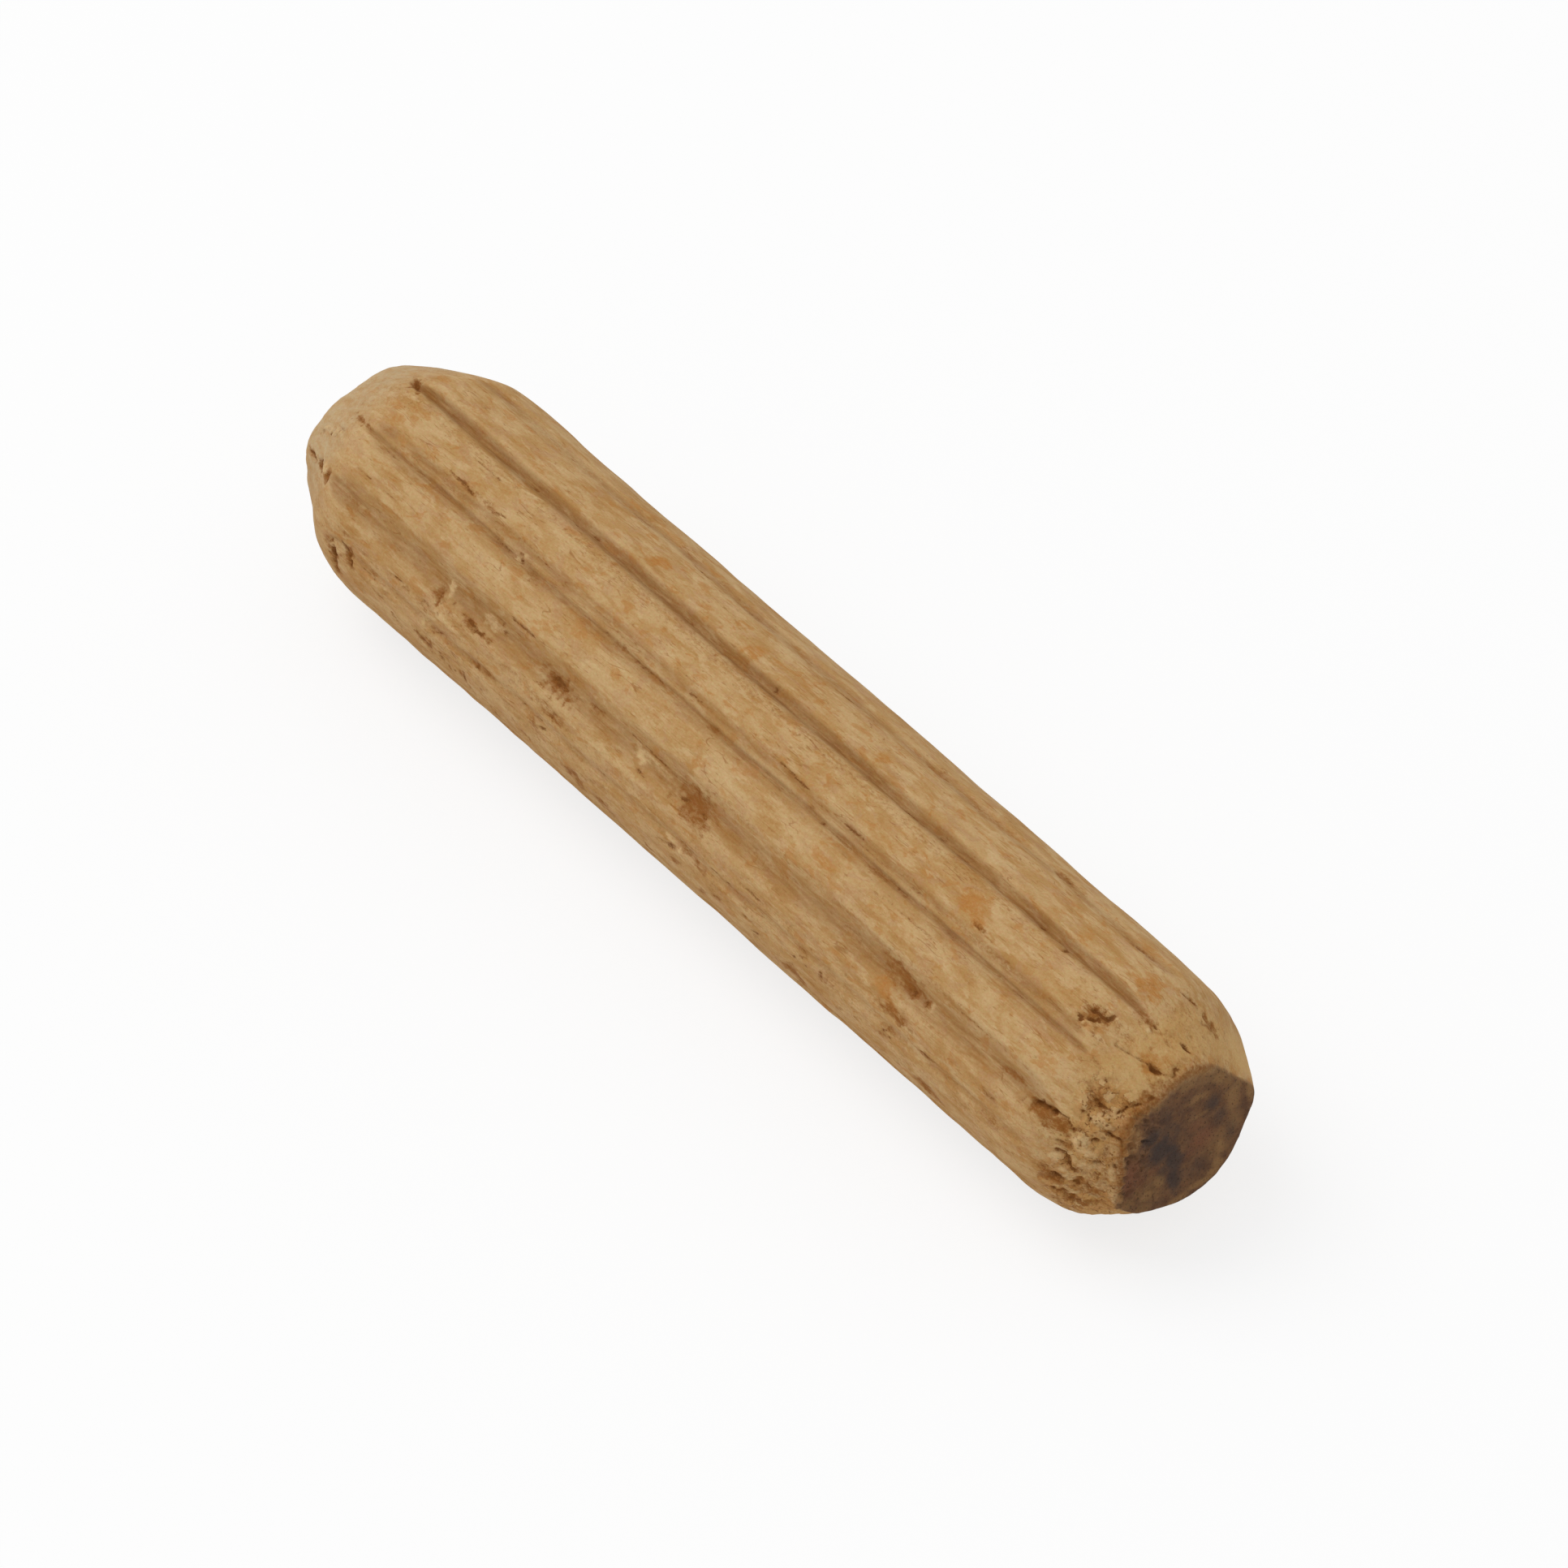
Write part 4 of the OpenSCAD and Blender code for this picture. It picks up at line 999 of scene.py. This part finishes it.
def pin_surface(shape, wear):
    """Places of the vertices in mm and tints of the pin's surface, row by row."""
    at = pin_places(shape)
    skew_rim(at, shape)
    grime = cut_flutes(at, shape)
    tear = hills_round(at, TEAR)
    dents, tints = lay_marks(at, tear)

    face = end_face(at, shape)
    shank = soft_step(*SHANK, at.r)
    rise = wood_heights(at, wear, tear) - dents * wear.mark_depth - uneven_depths(at)
    rise = rise * shank + face.on * (1 - SHANK_UNSAWN * shank) * saw_heights(face, wear)

    # Darkening of the flutes, deeper where the cut is deeper: grime and painted shade together
    tints["hollow"] = grime
    lay_end_stain(tints, at, face, tear)
    lay_face_patches(tints, face)
    tints["rough"] = rough_places(at)
    for tint in ("dark", "brown", "warm", "pale"):
        tints[tint] = np.clip(tints[tint] * wear.mark_tint, 0, 1)

    turned = np.radians(at.angle)
    r = at.r + rise * at.out_r
    return np.stack([at.x + rise * at.out_x, r * np.sin(turned), r * np.cos(turned)], -1), tints


def closed_faces(rows, columns):
    """Quads between inner rows, and a fan of triangles round each pole vertex."""
    index = np.arange(rows * columns).reshape(rows, columns) + 1
    after = np.roll(index, -1, axis=1)
    quads = np.stack([index[:-1], after[:-1], after[1:], index[1:]], -1).reshape(-1, 4)
    last = rows * columns + 1
    faces = [(0, int(b), int(a)) for a, b in zip(index[0], after[0])]
    faces += [tuple(int(v) for v in quad) for quad in quads]
    faces += [(last, int(a), int(b)) for a, b in zip(index[-1], after[-1])]
    return faces


def with_poles(grid):
    """Values of the inner rows, with one value for each pole at the ends."""
    flat = grid[1:-1].reshape(-1, *grid.shape[2:])
    return np.concatenate([grid[:1, :1].reshape(1, *grid.shape[2:]), flat,
                           grid[-1:, :1].reshape(1, *grid.shape[2:])])


def add_object(name, data):
    """A new object in the scene."""
    made = bpy.data.objects.new(name, data)
    bpy.context.scene.collection.objects.link(made)
    return made


def build_pin(shape, wear):
    """The pin as one closed mesh object, with its tints on the vertices."""
    place, tints = pin_surface(shape, wear)
    place[0] = place[0].mean(axis=0)
    place[-1] = place[-1].mean(axis=0)
    mesh = bpy.data.meshes.new(PIN_NAME)
    points = with_poles(place) * MM
    mesh.from_pydata(points.tolist(), [], closed_faces(len(place) - 2, place.shape[1]))
    for tint, values in tints.items():
        layer = mesh.attributes.new(tint, "FLOAT", "POINT")
        layer.data.foreach_set("value", with_poles(values).astype(np.float32))
    mesh.shade_smooth()
    mesh.update()
    return add_object(PIN_NAME, mesh)


class NodeBench:
    """Short calls to lay and join the nodes of one material or sky."""

    def __init__(self, owner):
        owner.use_nodes = True
        self.tree = owner.node_tree
        self.tree.nodes.clear()

    def put(self, socket, value):
        """Sets a socket to a plain value, or joins it to another node's output."""
        if isinstance(value, bpy.types.NodeSocket):
            self.tree.links.new(value, socket)
        elif socket.type == "RGBA":
            socket.default_value = (*value, 1)
        else:
            socket.default_value = value

    def node(self, kind, inputs=None, **settings):
        """A new node with these settings, and values for its sockets by name or number."""
        made = self.tree.nodes.new(kind)
        for name, value in settings.items():
            setattr(made, name, value)
        for name, value in (inputs or {}).items():
            self.put(made.inputs[name], value)
        return made

    def cover(self, surface, kind="ShaderNodeOutputMaterial"):
        """Gives the material its surface."""
        self.node(kind, {"Surface": surface})

    def maths(self, way, first, second=0.0):
        """What a maths node of this way makes of first and second."""
        return self.node("ShaderNodeMath", {0: first, 1: second}, operation=way).outputs[0]

    def plus(self, first, second):
        """First and second together."""
        return self.maths("ADD", first, second)

    def minus(self, first, second):
        """First less second."""
        return self.maths("SUBTRACT", first, second)

    def times(self, first, second):
        """First as many times as second."""
        return self.maths("MULTIPLY", first, second)

    def step(self, value, low, high, to_low=0.0, to_high=1.0):
        """Smooth step of a value from low to high."""
        ramp = self.node("ShaderNodeMapRange", {
            "Value": value, "From Min": low, "From Max": high, "To Min": to_low, "To Max": to_high,
        }, interpolation_type="SMOOTHSTEP")
        return ramp.outputs["Result"]

    def mix(self, amount, first, second, way="MIX"):
        """Lays the second colour over the first by the amount."""
        return self.node("ShaderNodeMix", {0: amount, 6: first, 7: second}, data_type="RGBA",
                         blend_type=way).outputs[2]

    def lay(self, tone, amount, layer, shade):
        """Lays a shade over the tone, by the amount times the strength of this layer."""
        return self.mix(self.times(amount, STRENGTHS[layer]), tone, tuple(shade))

    def tint(self, name):
        """One of the tints on the vertices."""
        return self.node("ShaderNodeAttribute", attribute_name=name).outputs["Fac"]

    @cached_property
    def place(self):
        """Place on the pin, in metres."""
        return self.node("ShaderNodeTexCoord").outputs["Object"]

    def spread(self, along, across, shift):
        """Places on the pin, counted in steps this long along it and this wide across it, in mm."""
        return self.node("ShaderNodeMapping", {
            "Vector": self.place, "Location": [shift * way for way in SHIFT_WAY],
            "Scale": (1 / along / MM, 1 / across / MM, 1 / across / MM),
        }).outputs["Vector"]

    def grain(self, along, across, detail, rough, twist, shift):
        """Noise whose patches are this long along the pin and this wide across it, in mm."""
        return self.node("ShaderNodeTexNoise", {
            "Vector": self.spread(along, across, shift), "Scale": 1, "Detail": detail,
            "Roughness": rough, "Distortion": twist,
        }).outputs["Fac"]

    def patches(self, layer, *shares):
        """Where a layer shows, from 0 to 1, or between the shares that are given."""
        grain, fade = PATCHES[layer]
        return self.step(self.grain(*grain), *fade, *shares)

    @cached_property
    def fray(self):
        """Fine grain around 0 that frays the edges of marks."""
        return self.minus(self.grain(*FRAY_GRAIN), 0.5)

    def ragged(self, name, layer):
        """A tint whose edges are frayed, as this layer's fray says."""
        push, middle, half = FRAYS[layer]
        frayed = self.plus(self.tint(name), self.times(self.fray, push))
        return self.step(frayed, middle - half, middle + half)

    def crack(self, value, middle, wide, crisp):
        """A thin line where a value passes the middle: 1 within crisp of it, and 0 beyond wide."""
        off = self.maths("ABSOLUTE", self.minus(value, middle))
        return self.step(off, wide, crisp)

    @cached_property
    def chip_places(self):
        """Places counted in chips of the torn wood, bent so that the chips aren't regular."""
        place = self.spread(*CHIP_SPREAD)
        noise = self.node("ShaderNodeTexNoise", {"Vector": place, "Scale": CHIP_BEND})
        return self.node("ShaderNodeVectorMath", {0: place, 1: noise.outputs["Color"]},
                         operation="ADD").outputs["Vector"]

    def chips(self, feature):
        """Cells, one for each chip of the torn wood."""
        return self.node("ShaderNodeTexVoronoi", {"Vector": self.chip_places, "Scale": 1},
                         feature=feature)

    @cached_property
    def chip_number(self):
        """Each chip's own number from 0 to 1."""
        own = self.chips("F1").outputs["Color"]
        return self.node("ShaderNodeSeparateColor", {0: own}).outputs[0]

    def looked_at(self, *rays):
        """1 for rays of these kinds, and 0 for all others."""
        path = self.node("ShaderNodeLightPath").outputs
        seen = path[rays[0]]
        for ray in rays[1:]:
            seen = self.maths("MAXIMUM", seen, path[ray])
        return seen

    def blend(self, amount, first, second):
        """Mixes the second surface into the first by the amount."""
        return self.node("ShaderNodeMixShader", {0: amount, 1: first, 2: second}).outputs[0]


def mottled_wood(bench, finish):
    """Sound wood: its middle tone, with streaks and patches of other tones over it."""
    tone = bench.mix(bench.patches("light"), tuple(finish.body), tuple(finish.light))
    for layer, shade in MOTTLING.items():
        tone = bench.lay(tone, bench.patches(layer), layer, getattr(finish, shade))
    return tone


def lay_fibres(bench, finish, tone):
    """Lays hairs of denser wood, short splits and pores over the tone."""
    hairs = bench.times(bench.patches("hairs"), bench.patches("hairy places"))
    tone = bench.lay(tone, hairs, "hairs", finish.deep)
    splits = bench.crack(bench.grain(*SPLIT_GRAIN), *SPLIT_LINE)
    splits = bench.times(splits, bench.patches("split places"))
    tone = bench.lay(tone, splits, "splits", finish.brown)
    return bench.lay(tone, bench.patches("pores"), "pores", finish.brown)


def lay_ends(bench, finish, tone):
    """Lays the greyer wood of the nosed end, and painted light on the trimmed chamfer."""
    along = bench.node("ShaderNodeSeparateXYZ", {0: bench.place}).outputs["X"]
    sets_in, full = NOSED_WOOD
    nosed = bench.step(along, sets_in * MM, full * MM)
    bleach = bench.patches("bleach")
    for shade, (least, most) in NOSED_SHARES.items():
        amount = bench.times(nosed, bench.step(bleach, 0.0, 1.0, least, most))
        tone = bench.lay(tone, amount, "nosed", getattr(finish, shade))
    # Painted light: the trimmed chamfer is lightened to stand in for light that falls on it
    begin, full, last, end = TRIMMED_CHAMFER_LIGHT
    trimmed = bench.times(bench.step(along, begin * MM, full * MM),
                          bench.step(along, end * MM, last * MM))
    return bench.lay(tone, trimmed, "trimmed", finish.trimmed)


def lay_dirt_and_shade(bench, finish, tone):
    """Lays the grime and painted shade of the flutes over the tone."""
    dirt_and_shade = bench.times(bench.tint("hollow"), bench.patches("dirty and shaded places"))
    return bench.lay(tone, dirt_and_shade, "dirt_and_shade", finish.dirt_and_shade)


def lay_torn_wood(bench, finish, tone):
    """Lays the chips and specks of torn and rough wood over the tone."""
    torn = bench.tint("rough")
    worn = bench.times(torn, bench.patches("clumps"))
    edge = bench.chips("DISTANCE_TO_EDGE").outputs["Distance"]
    tone = bench.lay(tone, torn, "torn", finish.warm)
    for layer, where, value, shade in (
        ("pale chips", torn, bench.chip_number, finish.cream),
        ("brown chips", worn, bench.chip_number, finish.brown),
        ("chip edges", worn, edge, finish.dark),
    ):
        chosen = bench.step(value, *CHIP_FADES[layer])
        tone = bench.lay(tone, bench.times(where, chosen), layer, shade)
    specks = bench.times(worn, bench.patches("torn specks"))
    return bench.lay(tone, specks, "torn specks", finish.dark)


def lay_mark_colours(bench, finish, tone):
    """Lays the colours of the flecks, flakes, stains, pits and gashes over the tone."""
    uneven = bench.patches("marked places")
    for name in ("warm", "pale", "brown"):
        amount = bench.times(bench.ragged(name, name), uneven)
        tone = bench.lay(tone, amount, name, getattr(finish, name))
    tone = bench.lay(tone, bench.ragged("dark", "dark rim"), "dark rim", finish.brown)
    return bench.lay(tone, bench.ragged("dark", "dark"), "dark", finish.dark)


def lay_stained_end(bench, finish, tone):
    """Lays the dark stain with its patches over the wood of the trimmed end."""
    dark = bench.mix(bench.patches("grime"), tuple(finish.stain), tuple(finish.grime))
    for name in ("rust", "tan", "blotch"):
        patches = bench.ragged(name, "face patches")
        dark = bench.lay(dark, patches, "face patches", getattr(finish, name))
    dark = bench.lay(dark, bench.patches("face specks"), "face specks", finish.speck)
    return bench.mix(bench.tint("stain"), tone, dark)


def wood_colour(bench, finish):
    """Colour of the wood, laid coat by coat, with a fine grain of light and hue over it all."""
    tone = mottled_wood(bench, finish)
    for coat in (lay_fibres, lay_ends, lay_dirt_and_shade, lay_torn_wood, lay_mark_colours,
                 lay_stained_end):
        tone = coat(bench, finish, tone)
    for layer, shades in FINE_GRAIN.items():
        tone = bench.mix(1.0, tone, bench.mix(bench.patches(layer), *shades), "MULTIPLY")
    return tone


def wood_height(bench):
    """Height of the finest grain, and of the chips where the wood is torn or rough."""
    crumbs = bench.times(bench.grain(*CRUMB_GRAIN), CRUMB_HEIGHT)
    height = bench.plus(bench.grain(*FIBRE_GRAIN), crumbs)
    chips = bench.plus(bench.times(bench.chip_number, CHIP_HEIGHT),
                       bench.times(bench.grain(*TORN_GRAIN), TORN_HEIGHT))
    return bench.plus(height, bench.times(chips, bench.tint("rough")))


def wood_material(finish):
    """Dry, worn hardwood whose grain runs along X."""
    material = bpy.data.materials.new("worn_hardwood")
    bench = NodeBench(material)
    dull = bench.patches("dull places", finish.roughness - finish.uneven,
                         finish.roughness + finish.uneven)
    bump = bench.node("ShaderNodeBump", {"Strength": 1, "Distance": finish.bump,
                                         "Height": wood_height(bench)})
    shader = bench.node("ShaderNodeBsdfPrincipled", {
        "Base Color": wood_colour(bench, finish), "Roughness": dull,
        "Specular IOR Level": finish.gloss, "Normal": bump.outputs["Normal"],
    })
    bench.cover(shader.outputs["BSDF"])
    return material


def floor_material(stage):
    """Matt floor with plain white mixed in, only where the camera, gloss or glass looks at it."""
    material = bpy.data.materials.new("plain_floor")
    bench = NodeBench(material)
    matt = bench.node("ShaderNodeBsdfDiffuse", {"Color": stage.floor_colour})
    white = bench.node("ShaderNodeEmission", {"Strength": 1})
    seen = bench.looked_at("Is Camera Ray", "Is Glossy Ray", "Is Transmission Ray")
    bench.cover(bench.blend(bench.times(seen, stage.floor_glow), matt.outputs[0],
                            white.outputs[0]))
    return material


def build_floor(stage, height):
    """A wide plain floor just under the pin."""
    side = stage.floor_size / 2
    corners = [(-side, -side), (side, -side), (side, side), (-side, side)]
    mesh = bpy.data.meshes.new("floor")
    mesh.from_pydata([(x, y, height) for x, y in corners], [], [(0, 1, 2, 3)])
    mesh.materials.append(floor_material(stage))
    return add_object("floor", mesh)


def light_sky(stage):
    """Even light from all round, plain white where the camera or gloss looks at it."""
    world = bpy.data.worlds.new("soft_sky")
    bpy.context.scene.world = world
    bench = NodeBench(world)
    sky, white = (bench.node("ShaderNodeBackground", {"Color": (1, 1, 1), "Strength": strength})
                  for strength in (stage.sky, 1))
    seen = bench.looked_at("Is Camera Ray", "Is Glossy Ray")
    bench.cover(bench.blend(seen, sky.outputs[0], white.outputs[0]), "ShaderNodeOutputWorld")


def hang_lamp(stage):
    """One big soft lamp that looks at the pin."""
    light = bpy.data.lights.new("soft_lamp", "AREA")
    light.energy = stage.lamp
    light.shape = "SQUARE"
    light.size = stage.lamp_size
    lamp = add_object("soft_lamp", light)
    lamp.location = stage.lamp_place
    lamp.rotation_euler = (-Vector(stage.lamp_place)).to_track_quat("-Z", "Y").to_euler()


def place_camera(stage):
    """The camera, far off with a long lens, looking down along the pin."""
    back = Vector(stage.camera_side).normalized()
    right = Vector(stage.camera_right)
    right = (right - back * right.dot(back)).normalized()
    up = back.cross(right)
    turned = Matrix((right, up, back)).transposed().to_4x4()
    spot = (back * stage.camera_distance + right * stage.camera_shift[0] +
            up * stage.camera_shift[1])
    lens = bpy.data.cameras.new("camera")
    lens.lens = stage.lens
    lens.sensor_width = stage.sensor
    lens.clip_start = stage.clip_near
    lens.clip_end = stage.clip_far
    camera = add_object("camera", lens)
    camera.matrix_world = Matrix.Translation(spot) @ turned
    bpy.context.scene.camera = camera


class OBJECT_OT_fluted_pin(Operator):
    """Makes the fluted pin with its wear and wood finish"""
    bl_idname = "object.fluted_pin"
    bl_label = "Make Fluted Pin"

    def execute(self, context):
        scene = context.scene
        pin = build_pin(scene.pin_shape, scene.pin_wear)
        pin.data.materials.append(wood_material(scene.wood_finish))
        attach(pin, "root")
        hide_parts(CAD_NODE)
        return {"FINISHED"}


class SCENE_OT_plain_stage(Operator):
    """Makes the floor, the light and the camera"""
    bl_idname = "scene.plain_stage"
    bl_label = "Make Plain Stage"

    def execute(self, context):
        stage = context.scene.stage_set
        pin = bpy.data.objects.get(PIN_NAME)
        if pin is None:
            raise RuntimeError("The stage needs the pin: make the pin first")
        height = min(v.co.z for v in pin.data.vertices)
        build_floor(stage, height)
        light_sky(stage)
        hang_lamp(stage)
        place_camera(stage)
        context.scene.view_settings.view_transform = "Standard"
        return {"FINISHED"}


class VIEW3D_PT_dowel_pin(Panel):
    """Lists the pin's settings and what makes it"""
    bl_idname = "VIEW3D_PT_dowel_pin"
    bl_label = "Dowel Pin"
    bl_space_type = "VIEW_3D"
    bl_region_type = "UI"
    bl_category = "Dowel Pin"

    def draw(self, context):
        for title, group, maker in (
            ("Shape", "pin_shape", None), ("Wear", "pin_wear", None),
            ("Wood", "wood_finish", OBJECT_OT_fluted_pin),
            ("Stage", "stage_set", SCENE_OT_plain_stage),
        ):
            box = self.layout.box()
            box.label(text=title)
            settings = getattr(context.scene, group)
            for name in settings.__annotations__:
                box.prop(settings, name)
            if maker:
                box.operator(maker.bl_idname)


GROUPS = {"pin_shape": PinShape, "pin_wear": PinWear, "wood_finish": WoodFinish,
          "stage_set": StageSet}
CLASSES = (*GROUPS.values(), OBJECT_OT_fluted_pin, SCENE_OT_plain_stage, VIEW3D_PT_dowel_pin)


def register():
    """Registers the classes and gives the scene their settings."""
    for cls in CLASSES:
        bpy.utils.register_class(cls)
    for name, group in GROUPS.items():
        setattr(bpy.types.Scene, name, PointerProperty(type=group))


def unregister():
    """Takes away what register made."""
    for name in GROUPS:
        delattr(bpy.types.Scene, name)
    for cls in reversed(CLASSES):
        bpy.utils.unregister_class(cls)


def main():
    """Makes the pin and its stage."""
    register()
    bpy.ops.object.fluted_pin()
    bpy.ops.scene.plain_stage()


if __name__ == "__main__":
    main()
